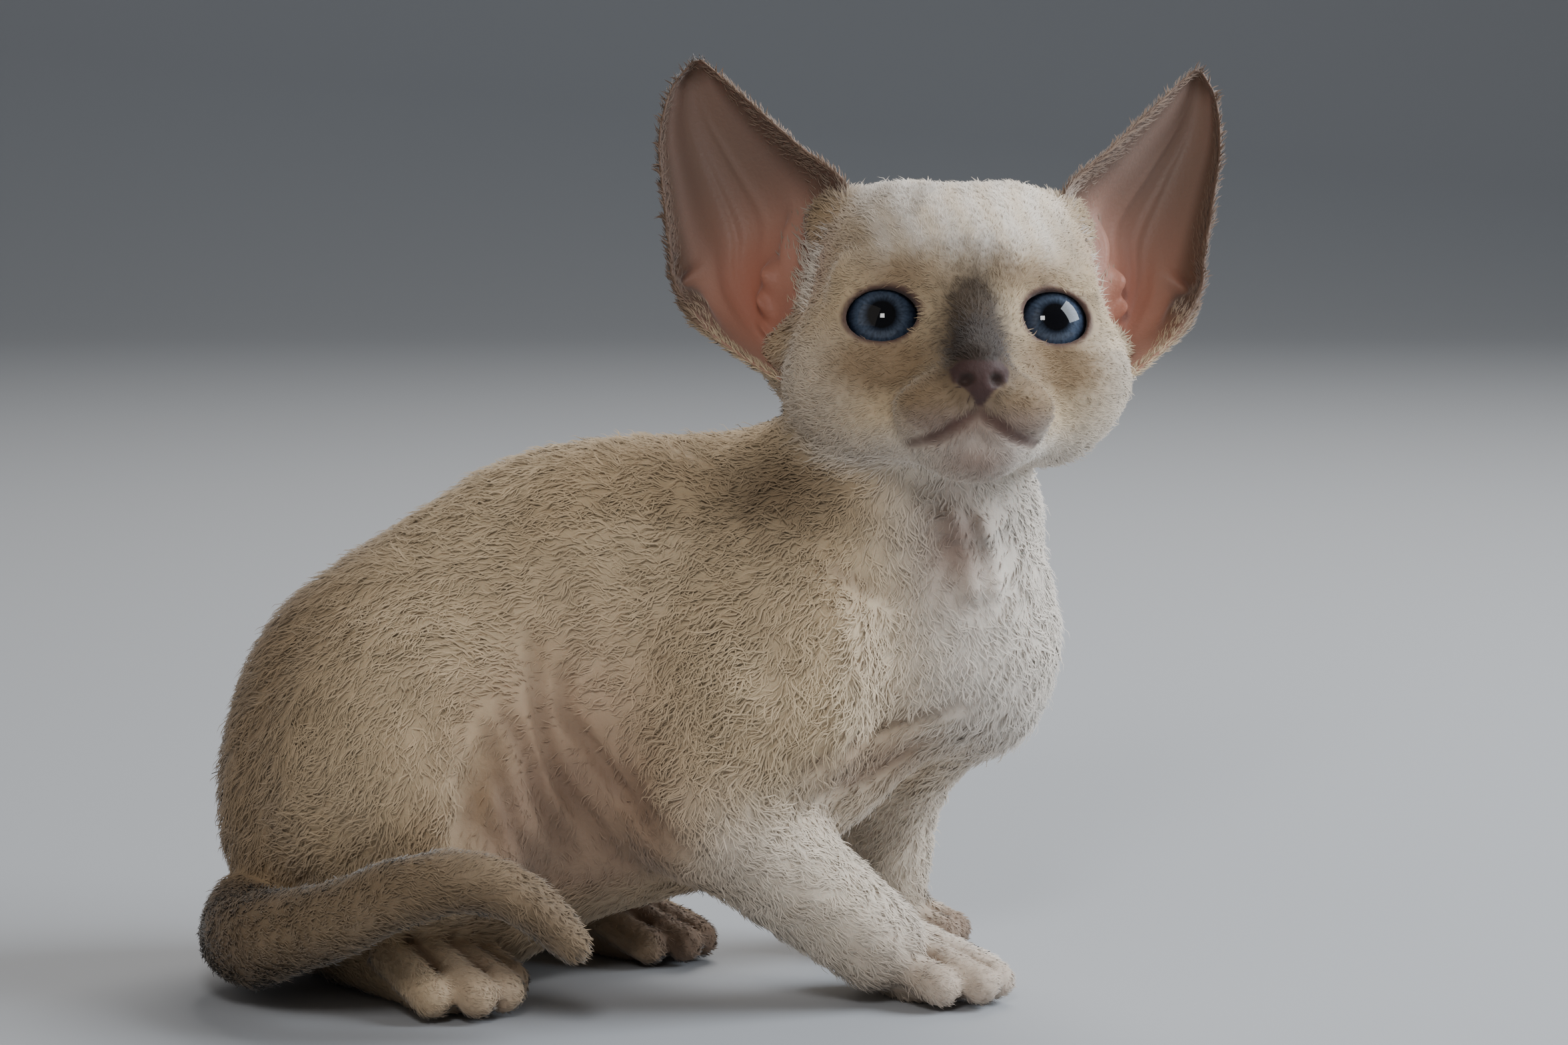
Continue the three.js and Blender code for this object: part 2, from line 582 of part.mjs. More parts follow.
// The blocks that hold each limb, and within it each paw.
const limbBlocks = {
  foreleg_right: { low: [-21, -70, -5], high: [70, 21, 35], yaw: 0 },
  foreleg_left: { low: [-12, 24, -5], high: [50, 80, 36], yaw: 0 },
  hindleg_right: { low: [-140, -110, -5], high: [-22, -25, 60], yaw: 4 },
  hindleg_left: { low: [-110, 5, -5], high: [-22, 60, 54], yaw: 0 },
};
const pawBlocks = {
  forepaw_right: { low: [7, -40, -5], high: [70, 21, 15.5], yaw: 0 },
  forepaw_left: { low: [-12, 24, -5], high: [50, 80, 14], yaw: 0 },
  hindpaw_right: { low: [-92, -60, -5], high: [-24, -26.5, 17.6], yaw: -22 },
  hindpaw_left: { low: [-62, 5, -5], high: [-22, 45, 17], yaw: 0 },
};

const group = new THREE.Group();
const cat = new THREE.Group();
const looks = {
  coat: new THREE.MeshStandardMaterial({ color: 0xc9b9a4, roughness: 0.95, metalness: 0 }),
  eye: new THREE.MeshStandardMaterial({ color: 0x4a6486, roughness: 0.05, metalness: 0 }),
};

function addNode(name, solid, look = looks.coat) {
  const m = largest(solid).getMesh();
  const g = new THREE.BufferGeometry();
  const positions = new Float32Array(m.numVert * 3);
  for (let i = 0; i < m.numVert; i++)
    for (let q = 0; q < 3; q++) positions[i * 3 + q] = m.vertProperties[i * m.numProp + q];
  g.setAttribute("position", new THREE.BufferAttribute(positions, 3));
  g.setIndex(new THREE.BufferAttribute(m.triVerts, 1));
  g.computeVertexNormals();
  const mesh = new THREE.Mesh(g, look);
  mesh.name = name;
  cat.add(mesh);
}

// Eyes and the head round them
const eyes = { right: eyeSpace(-1), left: eyeSpace(1) };
const headBox = [[-24, -56, 70], [80, 56, 156]];
let headSolid = region(whole, ...headBox, HEAD_CELL, SLACK.head, 10).intersect(above(THROAT, CUT_GAP / 2));
for (const taken of [eyes.right.space, eyes.left.space, ...muzzleLines()]) {
  headSolid = headSolid.subtract(taken);
}
addNode("head", headSolid);
addNode("eye_right", eyes.right.eyeball, looks.eye);
addNode("eye_left", eyes.left.eyeball, looks.eye);

// Trunk, limbs and paws
const trunkSurface = region(whole, [-125, -70, -9], [70, 70, 124], TORSO_CELL, SLACK.trunk, 14);
const trunkSolid = trunkSurface.intersect(floor);
addNode("neck", trunkSolid.intersect(above(COLLAR, CUT_GAP / 2)).intersect(below(THROAT, CUT_GAP / 2)));
const legSolid = region(headless, [-125, -70, -9], [70, 70, 68], LEG_CELL, SLACK.leg, 13).intersect(floor);
let torso = trunkSolid.intersect(below(COLLAR, CUT_GAP / 2));
for (const [name, limb] of Object.entries(limbBlocks)) {
  const pawName = name.replace("leg", "paw");
  const end = pawBlocks[pawName];
  const within = block(limb.low, limb.high, limb.yaw, -CUT_GAP / 2);
  torso = torso.subtract(block(limb.low, limb.high, limb.yaw, CUT_GAP / 2));
  addNode(name, legSolid.intersect(within).subtract(block(end.low, end.high, end.yaw, CUT_GAP / 2)));
  const fine = region(headless, ...pawBox(paws[pawName]), PAW_CELL, SLACK.paw, 9).intersect(floor);
  addNode(pawName, fine.intersect(within).intersect(block(end.low, end.high, end.yaw, -CUT_GAP / 2)));
}
addNode("torso", torso);

// Tail
const tailSurface = region(tailField(), [-118, -84, -6], [-4, 10, 46], TAIL_CELL, SLACK.tail, 12);
const tailSolid = tailSurface.intersect(floor);
const [first, second] = TAIL_CUTS.map((t) => ({
  point: tailCurve.getPoint(t).toArray(),
  normal: tailCurve.getTangent(t).toArray(),
}));
addNode("tail_base", tailSolid.intersect(below(first, CUT_GAP / 2)));
addNode("tail_mid", tailSolid.intersect(above(first, CUT_GAP / 2)).intersect(below(second, CUT_GAP / 2)));
addNode("tail_tip", tailSolid.intersect(above(second, CUT_GAP / 2)));

// Ears
const skullGrown = region(whole, ...headBox, HEAD_CELL, SLACK.seat, 8, EAR_SEAT);
addNode("ear_right", ear(-1).subtract(skullGrown));
addNode("ear_left", ear(1).subtract(skullGrown));

// The origin is below the middle of the whole, on the floor.
const bounds = new THREE.Box3().setFromObject(cat);
cat.position.set(-(bounds.min.x + bounds.max.x) / 2, -(bounds.min.y + bounds.max.y) / 2, 0);
group.add(cat);

export default group;
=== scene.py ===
"""Looks of a young devon rex cat: skin, coat, ears, eyes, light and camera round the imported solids.

Sizes are millimetres in the cat's own frame until a mesh is made: +X the way the hips face, +Y its
left, +Z up. The skin repeats the distance field that the solids are cut from, a coat's depth inside.
"""

import math

import bpy
import numpy as np
import openvdb
from mathutils import Matrix, Vector, kdtree


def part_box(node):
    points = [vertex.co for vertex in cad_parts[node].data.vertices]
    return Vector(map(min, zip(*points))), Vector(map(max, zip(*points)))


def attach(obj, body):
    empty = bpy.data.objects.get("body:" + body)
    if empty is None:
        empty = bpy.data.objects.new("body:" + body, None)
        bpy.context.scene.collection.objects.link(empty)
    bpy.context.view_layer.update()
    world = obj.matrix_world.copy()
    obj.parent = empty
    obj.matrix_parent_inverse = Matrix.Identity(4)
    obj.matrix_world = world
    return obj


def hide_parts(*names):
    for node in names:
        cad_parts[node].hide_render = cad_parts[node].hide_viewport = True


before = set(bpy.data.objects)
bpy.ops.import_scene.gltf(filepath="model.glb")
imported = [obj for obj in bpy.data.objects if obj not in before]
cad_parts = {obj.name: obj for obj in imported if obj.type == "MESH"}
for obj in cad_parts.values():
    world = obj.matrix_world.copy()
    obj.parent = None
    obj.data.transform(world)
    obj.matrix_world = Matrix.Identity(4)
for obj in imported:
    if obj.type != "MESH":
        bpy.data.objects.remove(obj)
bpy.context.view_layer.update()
MM = 0.001

# Camera, as measured on the photograph
VIEW_AZIMUTH = 22.0
VIEW_ELEVATION = 7.0
VIEW_DISTANCE = 790.0
VIEW_TARGET = (0.0, 0.0, 87.0)
LENS = 100.0

# Steps at which the skin is sampled, the band of steps kept round it, and the boxes that hold it
BODY_CELL = 1.12
FACE_CELL = 0.65
BAND = 3.0
HEAD_BOX = ((-24, -56, 76), (80, 56, 156))
BODY_BOX = ((-124, -78, -2), (66, 66, 118))

# Skeleton, the same places as in the solids
HEAD_AT = (30.8, 5.2, 119.2)
HEAD_TURN = {"yaw": 27.0, "pitch": 16.0, "roll": -1.3}
CHEST_TURN = -26.0
EYE_AT = (13.2, 14.2, 1.2)
EYE_AXIS = (0.98, 0.14, 0.06)
EYE_RADIUS = 8.0
EYE_OPENING = (6.3, 4.7)
FLOOR_SINK = 1.2
MIDLINE_AT, MIDLINE_RUN = (-65, -12), 3

# How far the skin lies under the tips of the coat, and how softly its forms join
SKIN_DEPTH = 1.35
SKULL_DEPTH, MUZZLE_DEPTH = 1.15, 0.50
PAW_DEPTH, TAIL_DEPTH = 0.55, 1.0
JOWL, JOWL_SIZE, JOWL_DEPTH = (8, 28, -18), (15, 9, 9), 1.4
NECK_SOFT, TAIL_SOFT = 6, 1.0
LID_SOFT, SOCKET_SOFT, NOSTRIL_SOFT = 0.5, 0.2, 0.6
SOCKET_GAP = 0.05
FLOOR_GAP = 0.15

# The seam between the fine skin of the head and the coarse one, and how far they lap
SEAM_AT = (21, 7, 97)
SEAM_AXIS = (0.42, -0.36, 0.83)
SEAM_LAP = 1.0
SKIN_SHADE = 0.94

rng = np.random.default_rng(7)


def smooth(low, high, value):
    """0 below low, 1 above high, eased between."""
    t = np.clip((value - low) / (high - low), 0.0, 1.0)
    return t * t * (3.0 - 2.0 * t)


def unit(vectors):
    length = np.linalg.norm(vectors, axis=-1, keepdims=True)
    return vectors / np.maximum(length, 1e-9)


def cos_sin(degrees):
    return math.cos(math.radians(degrees)), math.sin(math.radians(degrees))


def stretch(p, a, b):
    """How far along the stretch from a to b points lie, 0 to 1, and their distance from it."""
    d = b - a
    t = np.clip((p - a) @ d / (d @ d), 0, 1)
    return t, np.linalg.norm(p - a - t[:, None] * d, axis=1)


def spot(q, at, size):
    """A bell of height 1 at a place, as wide as size along each axis."""
    return np.exp(-(((q - np.array(at)) / np.array(size))**2).sum(axis=1))


def mirrored(q):
    """Points of the head with their left side's y, for what is alike on both sides."""
    return q * (1, 0, 1) + np.abs(q) * (0, 1, 0)


# Distance fields: each takes points (N, 3) and gives signed distances, negative inside. Only
# distances under NEAR are exact, so a form is skipped for a block of points that it can't reach.
NEAR = 4.0
FAR = 20.0


class Form:
    def __init__(self, distance, centre, reach):
        self.distance = distance
        self.centre = np.array(centre, "f4")
        self.reach = reach

    def __call__(self, p):
        return self.distance(p)


def taper(a, b, ra, rb):
    a, b = np.array(a, "f4"), np.array(b, "f4")

    def distance(p):
        t, away = stretch(p, a, b)
        return away - (ra + (rb - ra) * t)

    return Form(distance, (a + b) / 2, float(np.linalg.norm(b - a)) / 2 + max(ra, rb))


def mass(c, r, yaw=0.0, pitch=0.0):
    (cy, sy), (cp, sp) = cos_sin(yaw), cos_sin(pitch)
    c, r = np.array(c, "f4"), np.array(r, "f4")

    def distance(p):
        dx, dy, dz = (p - c).T
        ex, ey = dx * cy + dy * sy, dy * cy - dx * sy
        q = np.stack([ex * cp - dz * sp, ey, dz * cp + ex * sp], axis=1)
        k0 = np.linalg.norm(q / r, axis=1)
        k1 = np.linalg.norm(q / r**2, axis=1)
        return k0 * (k0 - 1) / np.maximum(k1, 1e-6)

    return Form(distance, c, float(r.max()))


def merged(a, b, soft):
    h = np.maximum(soft - np.abs(a - b), 0) / soft
    return np.minimum(a, b) - h * h * soft / 4


def carved(a, b, soft):
    """a with b taken away, its edge rounded over about soft."""
    return -merged(-a, b, soft)


def blend(pairs):
    centres = np.array([form.centre for form, _ in pairs])
    reaches = np.array([form.reach for form, _ in pairs])
    softness = np.array([soft for _, soft in pairs])
    middle = centres.mean(axis=0)
    outer = float((np.linalg.norm(centres - middle, axis=1) + reaches).max())

    def distance(p):
        low, high = p.min(axis=0), p.max(axis=0)
        gap = np.linalg.norm(centres - (low + high) / 2, axis=1) - reaches
        gap -= np.linalg.norm(high - low) / 2
        d = None
        for i in np.nonzero(gap < softness + NEAR)[0]:
            part = pairs[i][0](p)
            d = part if d is None else merged(d, part, pairs[i][1])
        return np.full(len(p), FAR, "f4") if d is None else d

    return Form(distance, middle, outer)


def by_blocks(field, p, size=10.0):
    """field(p), worked out block by block so that far forms are skipped."""
    cells = np.floor(p / size).astype("i8") + 500
    keys = (cells[:, 0] * 1000 + cells[:, 1]) * 1000 + cells[:, 2]
    order = np.argsort(keys, kind="stable")
    out = np.empty(len(p))
    for rows in np.split(order, np.nonzero(np.diff(keys[order]))[0] + 1):
        out[rows] = field(p[rows].astype("f4"))
    return out


# Head, in its own frame: x to the nose, y to the left ear, z up


def head_basis():
    yaw, pitch, roll = (math.radians(HEAD_TURN[k]) for k in ("yaw", "pitch", "roll"))
    level = math.cos(pitch)
    forward = np.array([math.sin(yaw) * level, -math.cos(yaw) * level, math.sin(pitch)])
    left = np.array([math.cos(yaw), math.sin(yaw), math.sin(roll)])
    left = unit(left - forward * (left @ forward))
    return np.stack([forward, left, np.cross(forward, left)])


BASIS = head_basis()


def to_head(p):
    return (p - np.array(HEAD_AT)) @ BASIS.T


def from_head(p):
    return np.asarray(p, float) @ BASIS + np.array(HEAD_AT)


head_forms = blend([
    (mass((-5, 0, 5), (29, 25.5, 23.5)), 1),
    (mass((8, 0, 9), (17, 19, 18)), 8),
    (mass((-3, 11, 12.5), (19, 13, 17)), 8),
    (mass((2, 17.6, -7), (19, 14, 14.2)), 8),
    (taper((2, 14, -10), (21, 6, -18.5), 10, 7), 6),
    (taper((12, 0, -8), (25.5, 0, -15), 15, 8.5), 6),
    (taper((14, 0, 4), (32, 0, -9), 8.5, 4.8), 6),
    (mass((26.5, 6.4, -15.8), (8, 7.8, 5.8)), 4),
    (mass((24.5, 0, -24), (6.4, 7, 4.6)), 4),
    (mass((33.6, 0, -12), (4, 5.2, 4.4)), 2),
    (taper((19.5, 7, 9.4), (14.5, 19, 9), 4, 4), 5),
    (mass(EYE_AT, (8.8, 9.6, 9)), 3),
    (taper((-7, 18, 2.5), (-11, 26.4, 0), 10.4, 8), 6),
    (taper((-5, 13, 19.5), (-6, 20, 23.5), 9, 6.5), 6),
])


def head(p):
    q = to_head(p)
    q[:, 1] = np.abs(q[:, 1])
    return head_forms(q.astype("f4"))


def paw_place(at, yaw):
    """The function that takes a paw's own millimetres, x to its toes, into the cat's frame."""
    c, s = cos_sin(yaw)

    def place(x, y, z):
        return (at[0] + x * c - y * s, at[1] + x * s + y * c, z)

    return place


def paw(at, yaw, size, reach):
    place = paw_place(at, yaw)
    palm = taper(place(-reach, 0, 7.6 * size), place(-7 * size, 0, 6.2 * size), 7.8 * size, 7.6 * size)
    parts = [(palm, 1), (mass(place(-3 * size, 0, 3.2), (8 * size, 7.6 * size, 4.2), yaw), 3)]
    for side in (-8, -2.8, 2.8, 8):
        ahead = 4 if abs(side) < 4 else -1
        root = place((ahead - 9) * size, side * 0.82 * size, 9.2 * size)
        tip = place((ahead + 4) * size, side * size, 5 * size - FLOOR_SINK / 2)
        parts.append((taper(root, tip, 3.8 * size, 4 * size), 1))
    return blend(parts)


BODY = {
    "rump": (mass((-65, -12, 41), (41, 31, 41.4)), 1),
    "tail_head": (mass((-84, -17, 27), (20, 18, 27.4)), 10),
    "loin": (mass((-40, -6, 61), (38, 26, 39)), 14),
    "belly": (mass((-28, -3, 46), (34, 26, 30)), 12),
    "ribs": (mass((-5, 8, 62), (32, 25, 37), CHEST_TURN / 2), 14),
    "withers": (taper((-24, -1, 80), (2, 9, 83), 21, 19), 12),
    "chest": (taper((22, 15, 86), (24, 16, 66), 22, 21.5), 12),
    "shoulder_right": (mass((4, -10, 67), (20, 14.5, 28), CHEST_TURN, -10), 7),
    "triceps_right": (mass((-7, -15, 56), (17, 12.5, 22), CHEST_TURN), 5),
    "shoulder_left": (mass((30, 24, 62), (13, 13, 19), CHEST_TURN), 8),
    "neck": (taper((10, 11, 86), (23, 8, 108), 22, 18), 10),
    "thigh_right": (mass((-58, -32, 43), (29, 17, 30), 0, 18), 6),
    "knee_right": (taper((-54, -38, 42), (-44, -41, 34), 14, 11), 7),
    "shank_right": (taper((-46, -39, 29), (-76, -33, 13), 10, 7.5), 4),
    "thigh_left": (mass((-54, 9, 44), (29, 15, 27), 0, 18), 9),
    "knee_left": (taper((-46, 16, 38), (-34, 18, 30), 13, 10), 8),
    "shank_left": (taper((-36, 17, 26), (-58, 15, 12), 9.5, 7.5), 4),
    "arm_right": (taper((0, -15, 56), (-7, -21, 39), 17, 13), 9),
    "forearm_right": (taper((-7, -21, 38), (18, -2, 12), 13.2, 10), 6),
    "arm_left": (taper((24, 28, 54), (9, 33, 38), 13, 11.5), 8),
    "forearm_left": (taper((8, 34, 38), (5, 39, 12), 11, 8.6), 6),
}
PAWS = {
    "forepaw_right": {"at": (30.4, 5, 0), "yaw": -10, "size": 1, "reach": 12, "soft": 3},
    "forepaw_left": {"at": (9, 41, 0), "yaw": 0, "size": 1, "reach": 8, "soft": 4},
    "hindpaw_right": {"at": (-48.4, -36.6, 0), "yaw": -24, "size": 1.1, "reach": 30, "soft": 3},
    "hindpaw_left": {"at": (-33, 17, 0), "yaw": -8, "size": 0.98, "reach": 28, "soft": 3},
}
trunk = blend(list(BODY.values()))
paw_forms = [(paw(p["at"], p["yaw"], p["size"], p["reach"]), p["soft"]) for p in PAWS.values()]
headless = blend([(trunk, 1)] + paw_forms)

TAIL_PATH = [
    (-86, -18, 22), (-92, -30, 13.5), (-87, -43, 12), (-76, -53, 15.5), (-61, -59, 20.5),
    (-47, -62, 27), (-35, -60, 29.5), (-26, -55.5, 26), (-20, -50, 18),
]
TAIL_RADII = [10.5, 10, 9.6, 8.4, 7.3, 6.6, 6, 5.4, 4.3]


def spline(points, steps):
    """A smooth line through points, steps pieces between each two."""
    p = np.array(points, float)
    p = np.vstack([2 * p[0] - p[1], p, 2 * p[-1] - p[-2]])
    out = []
    for i in range(1, len(p) - 2):
        for t in np.arange(steps) / steps:
            out.append(0.5 * (2 * p[i] + (p[i + 1] - p[i - 1]) * t
                              + (2 * p[i - 1] - 5 * p[i] + 4 * p[i + 1] - p[i + 2]) * t**2
                              + (3 * p[i] - p[i - 1] - 3 * p[i + 1] + p[i + 2]) * t**3))
    out.append(p[-2])
    return np.array(out)


TAIL_LINE = spline([(*p, r) for p, r in zip(TAIL_PATH, TAIL_RADII)], 4)
tail = blend([(taper(a[:3], b[:3], a[3], b[3]), 0.2) for a, b in zip(TAIL_LINE, TAIL_LINE[1:])])


def coat_depth(p, near_head, near_paw, near_tail):
    """How far the skin lies under the tips of the coat."""
    q = to_head(p)
    on_head = SKULL_DEPTH + (MUZZLE_DEPTH - SKULL_DEPTH) * smooth(-8, 24, q[:, 0])
    on_head += JOWL_DEPTH * spot(mirrored(q), JOWL, JOWL_SIZE)
    depth = SKIN_DEPTH + (on_head - SKIN_DEPTH) * near_head
    depth += (PAW_DEPTH - depth) * near_paw
    return depth + (TAIL_DEPTH - depth) * near_tail


def eye_views(q):
    """For each eye, points in its socket's frame, and how far out they are: 1 on the lids' edge."""
    for side in (-1, 1):
        axis = unit(np.array(EYE_AXIS) * (1, side, 1))
        across = unit(np.array([-axis[1], axis[0], 0.0]))
        e = (q - np.array(EYE_AT) * (1, side, 1)) @ np.stack([axis, across, np.cross(axis, across)]).T
        yield e, np.hypot(e[:, 1] / EYE_OPENING[0], e[:, 2] / EYE_OPENING[1])


# Creases of the loose skin: a path over the body, how wide and how deep; a negative depth is a
# ridge. The first ones are on both flanks.
FOLDS = [
    ([(-36, -32, 70), (-32, -36, 60), (-30, -37, 51), (-28, -35, 43), (-25, -31, 35), (-22, -23, 26)],
     1.4, 2.3),
    ([(-30, -32, 64), (-28, -34, 56), (-24, -32, 49), (-20, -31, 42), (-14, -34, 36), (-9, -33, 30)],
     1.4, 2.3),
    ([(-37, -41, 57), (-34, -40, 52), (-31, -39, 45), (-30, -37, 38), (-29, -29, 28)], 1.3, 1.8),
    ([(-39, -43, 54), (-37, -44, 47), (-34, -44, 41), (-32, -43, 35), (-33, -36, 28)], 1.3, 1.8),
    ([(-19, -31, 46), (-15, -34, 41), (-10, -35, 36), (-5, -34, 31)], 1.4, 1.8),
    ([(-37, -44, 50), (-39, -48, 45), (-40, -50, 40), (-40, -51, 35), (-41, -52, 31)], 2.4, 7.5),
    ([(-37, -49, 41), (-36, -48, 36), (-36, -46, 31)], 2.6, 5.0),
    ([(13, -23, 45), (20, -15, 48), (28, -3, 52), (36, 1, 56)], 1.5, 2.2),
    ([(13, -15, 39), (19, -3, 41), (29, 3, 48)], 1.5, 2.0),
    ([(10, -14, 95), (15, -18, 86), (22, -14, 79), (29, -7, 75)], 3.2, 1.2),
    ([(34, -5, 91), (36, -2, 83), (37, -1, 75)], 2.0, -1.8),
    ([(38, -1, 90), (40, 2, 81), (40, 2, 76)], 2.0, -1.8),
]
MIRRORED_FOLDS = 6
# How far down its depth a fold's path lies, and how many widths its ends rise out of the skin
FOLD_DOWN, FOLD_OUT = 0.42, 1.3
CREASE_REACH = 7
MOUTH = [(34, 0, -18), (33, 3, -19.5), (31, 6, -21.4), (27, 9.8, -22.3), (22, 13, -22)]
PHILTRUM = [(37, 0, -15), (36, 0, -16.5), (34, 0, -18)]
FACE_LINES = [
    (MOUTH, 0.85, 1.7),
    (PHILTRUM, 0.6, 0.9),
    ([(37.2, 3.2, -12.6), (35.2, 5.6, -11.6)], 0.7, 1.3),
    ([(36.8, 4.6, -13.8), (36.4, 5.0, -10.2)], 0.9, -0.5),
    ([(33.5, 0, -20), (32, 4, -22.5), (29, 7.5, -24)], 1.2, -0.5),
    ([(24.4, 9, 0.2), (27, 7.6, -1.8)], 0.7, 0.7),
    ([(22, 14, -20), (25, 13.5, -13), (29, 9, -8)], 2.2, 0.6),
    ([(25, 8.5, 5), (22.5, 14, 8), (18.5, 20, 6.5)], 0.9, 0.45),
]
NOSTRIL = ((37.6, 2.9, -12.7), (3.0, 1.7, 1.15))
NOSE_TOP, NOSE_FOOT = -9.6, -16.5
NOSE_WIDTHS = ((-16.5, 0.8), (-14.6, 2.2), (-12.8, 4.8), (-10.5, 5.3), (-9.4, 3.6))
TOE_CREASE = {"at": (-5.4, 0, 5.4), "width": 0.8, "depth": 1.1}
TOE_TOP = 16
FACE_START = 12


def off_path(q, path):
    """Distance of points from a line through a path's points."""
    places = np.array(path, float)
    return np.min([stretch(q, a, b)[1] for a, b in zip(places, places[1:])], axis=0)


def other_side(path):
    """A path of the right flank on the left one; the midline runs slantwise through the frame."""
    x0, y0 = MIDLINE_AT
    return [(x, 2 * (y0 + (x - x0) / MIDLINE_RUN) - y, z) for x, y, z in path]


def laid(path, width, depth):
    """A path filled in and laid in its fold in the skin of the body; its ends rise out of the skin."""
    p = np.array(spline(path, 4), float)
    middle = np.sin(math.pi * np.linspace(0, 1, len(p))) ** 0.6
    level = SKIN_DEPTH + max(depth, 0) * FOLD_DOWN * middle - FOLD_OUT * width * (1 - middle)
    for _ in range(6):
        d = headless(p)
        slope = np.stack([headless(p + step) - d for step in np.eye(3) * 0.3], axis=1) / 0.3
        p -= slope * ((d + level) / np.maximum((slope**2).sum(axis=1), 0.2))[:, None]
    return p


def fold_lines():
    sides = [(other_side(path), width, depth) for path, width, depth in FOLDS[:MIRRORED_FOLDS]]
    return [(laid(path, width, depth), width, depth) for path, width, depth in FOLDS + sides]


FOLD_LINES = fold_lines()
CREASES = [path for path, _, depth in FOLD_LINES if depth > 0]


def toe_lines():
    """The clefts between the toes of every paw, from the knuckles down to the floor."""
    lines = []
    for known in PAWS.values():
        place, size = paw_place(known["at"], known["yaw"]), known["size"]
        for side in TOE_CREASE["at"]:
            start = 0 if side == 0 else -4
            path = [(start - 4, 0.8 * side, 12), (start + 3, side, 9.5),
                    (start + 9, side, 4), (start + 10, side, 0)]
            path = [place(x * size, y * size, z * size) for x, y, z in path]
            lines.append((path, TOE_CREASE["width"], TOE_CREASE["depth"]))
    return lines


TOE_LINES = toe_lines()


def creased(d, p, q):
    """The field with the folds of the body and the lines of the face pressed in, near its surface."""
    near = np.nonzero(np.abs(d) < CREASE_REACH)[0]
    if not len(near):
        return d
    d = np.array(d, float)
    sets = [(p[near], FOLD_LINES)]
    if p[near, 2].min() < TOE_TOP:
        sets.append((p[near], TOE_LINES))
    if q[near, 0].max() > FACE_START:
        sets.append((mirrored(q[near]), FACE_LINES))
    for points, lines in sets:
        for path, width, depth in lines:
            d[near] += depth * np.exp(-((off_path(points, path) / width) ** 2))
    return d


def skin_field(p):
    """The skin: the solids' forms with the coat's depth taken off, sockets and toes kept."""
    dh, db, dt = head(p), trunk(p), tail(p)
    dp = np.min([form(p) for form, _ in paw_forms], axis=0)
    d = headless(p)
    near_head = smooth(-5, 5, d - dh)
    near_paw = smooth(-2, 4, db - dp)
    near_tail = smooth(-2, 2, np.minimum(d, dh) - dt)
    d = merged(d, dh, NECK_SOFT)
    d = merged(d, dt, TAIL_SOFT)
    d = d + coat_depth(p, near_head, near_paw, near_tail)
    q = to_head(p)
    d = creased(d, p, q)
    if np.abs(d).min() < 4 and q[:, 0].max() > 5:
        centre, size = NOSTRIL
        hollow = mass((0, 0, 0), size)((mirrored(q) - centre).astype("f4"))
        d = carved(d, hollow, NOSTRIL_SOFT)
        for e, r in eye_views(q):
            near = np.abs(e).max(axis=1) < 2 * EYE_RADIUS
            hole = np.maximum((r - 1) * EYE_OPENING[1], 1.0 - e[:, 0])
            ball = np.linalg.norm(e, axis=1) - (EYE_RADIUS + SOCKET_GAP)
            d = np.where(near, carved(carved(d, hole, LID_SOFT), ball, SOCKET_SOFT), d)
    return np.maximum(d, FLOOR_GAP - p[:, 2])


def surface(field, box, cell):
    """Vertices and quads of a field's zero level in a box."""
    low, high = np.array(box[0], float), np.array(box[1], float)
    n = np.ceil((high - low) / cell).astype(int) + 1
    block = 14
    n = (np.ceil(n / block) * block).astype(int)
    values = np.empty(n, "f4")
    steps = np.stack(np.meshgrid(*[np.arange(block)] * 3, indexing="ij"), axis=-1).reshape(-1, 3) * cell
    radius = block * cell * 0.87
    for i, j, k in np.array(list(np.ndindex(*(n // block)))) * block:
        corner = low + np.array((i, j, k)) * cell
        middle = float(field((corner + block * cell / 2)[None].astype("f4"))[0])
        part = values[i:i + block, j:j + block, k:k + block]
        if abs(middle) > radius * 1.3 + NEAR:
            part[:] = middle
        else:
            part[:] = field((steps + corner).astype("f4")).reshape(part.shape)
    grid = openvdb.FloatGrid(BAND * cell)
    grid.copyFromArray(np.clip(values, -BAND * cell, BAND * cell))
    points, quads = grid.convertToQuads(0.0)
    return points * cell + low, quads


# Where the meshes go: the solids are centred on their box, the fields aren't
eye_centre = sum(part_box("eye_right"), Vector()) / 2
SHIFT = np.array(eye_centre) / MM - from_head(np.array(EYE_AT) * (1, -1, 1))


def placed(p):
    return (np.asarray(p) + SHIFT) * MM


def added(name, data):
    """A new object in the scene."""
    piece = bpy.data.objects.new(name, data)
    bpy.context.scene.collection.objects.link(piece)
    return piece


def make_mesh(name, points, faces, colours=None):
    """An object from millimetre points and faces of four corners; a last corner of -1 is left out."""
    faces = np.asarray(faces)
    mesh = bpy.data.meshes.new(name)
    mesh.vertices.add(len(points))
    mesh.vertices.foreach_set("co", placed(points).astype("f4").ravel())
    sizes = np.where(faces[:, 3] < 0, 3, 4)
    corners = faces.ravel()[faces.ravel() >= 0]
    mesh.loops.add(len(corners))
    mesh.loops.foreach_set("vertex_index", corners.astype("i4"))
    mesh.polygons.add(len(faces))
    starts = np.concatenate([[0], np.cumsum(sizes)[:-1]])
    mesh.polygons.foreach_set("loop_start", starts.astype("i4"))
    mesh.polygons.foreach_set("use_smooth", np.full(len(faces), True))
    mesh.update(calc_edges=True)
    if colours is not None:
        layer = mesh.color_attributes.new("Coat", "FLOAT_COLOR", "POINT")
        rgba = np.ones((len(points), 4), "f4")
        rgba[:, :3] = colours
        layer.data.foreach_set("color", rgba.ravel())
    return added(name, mesh)


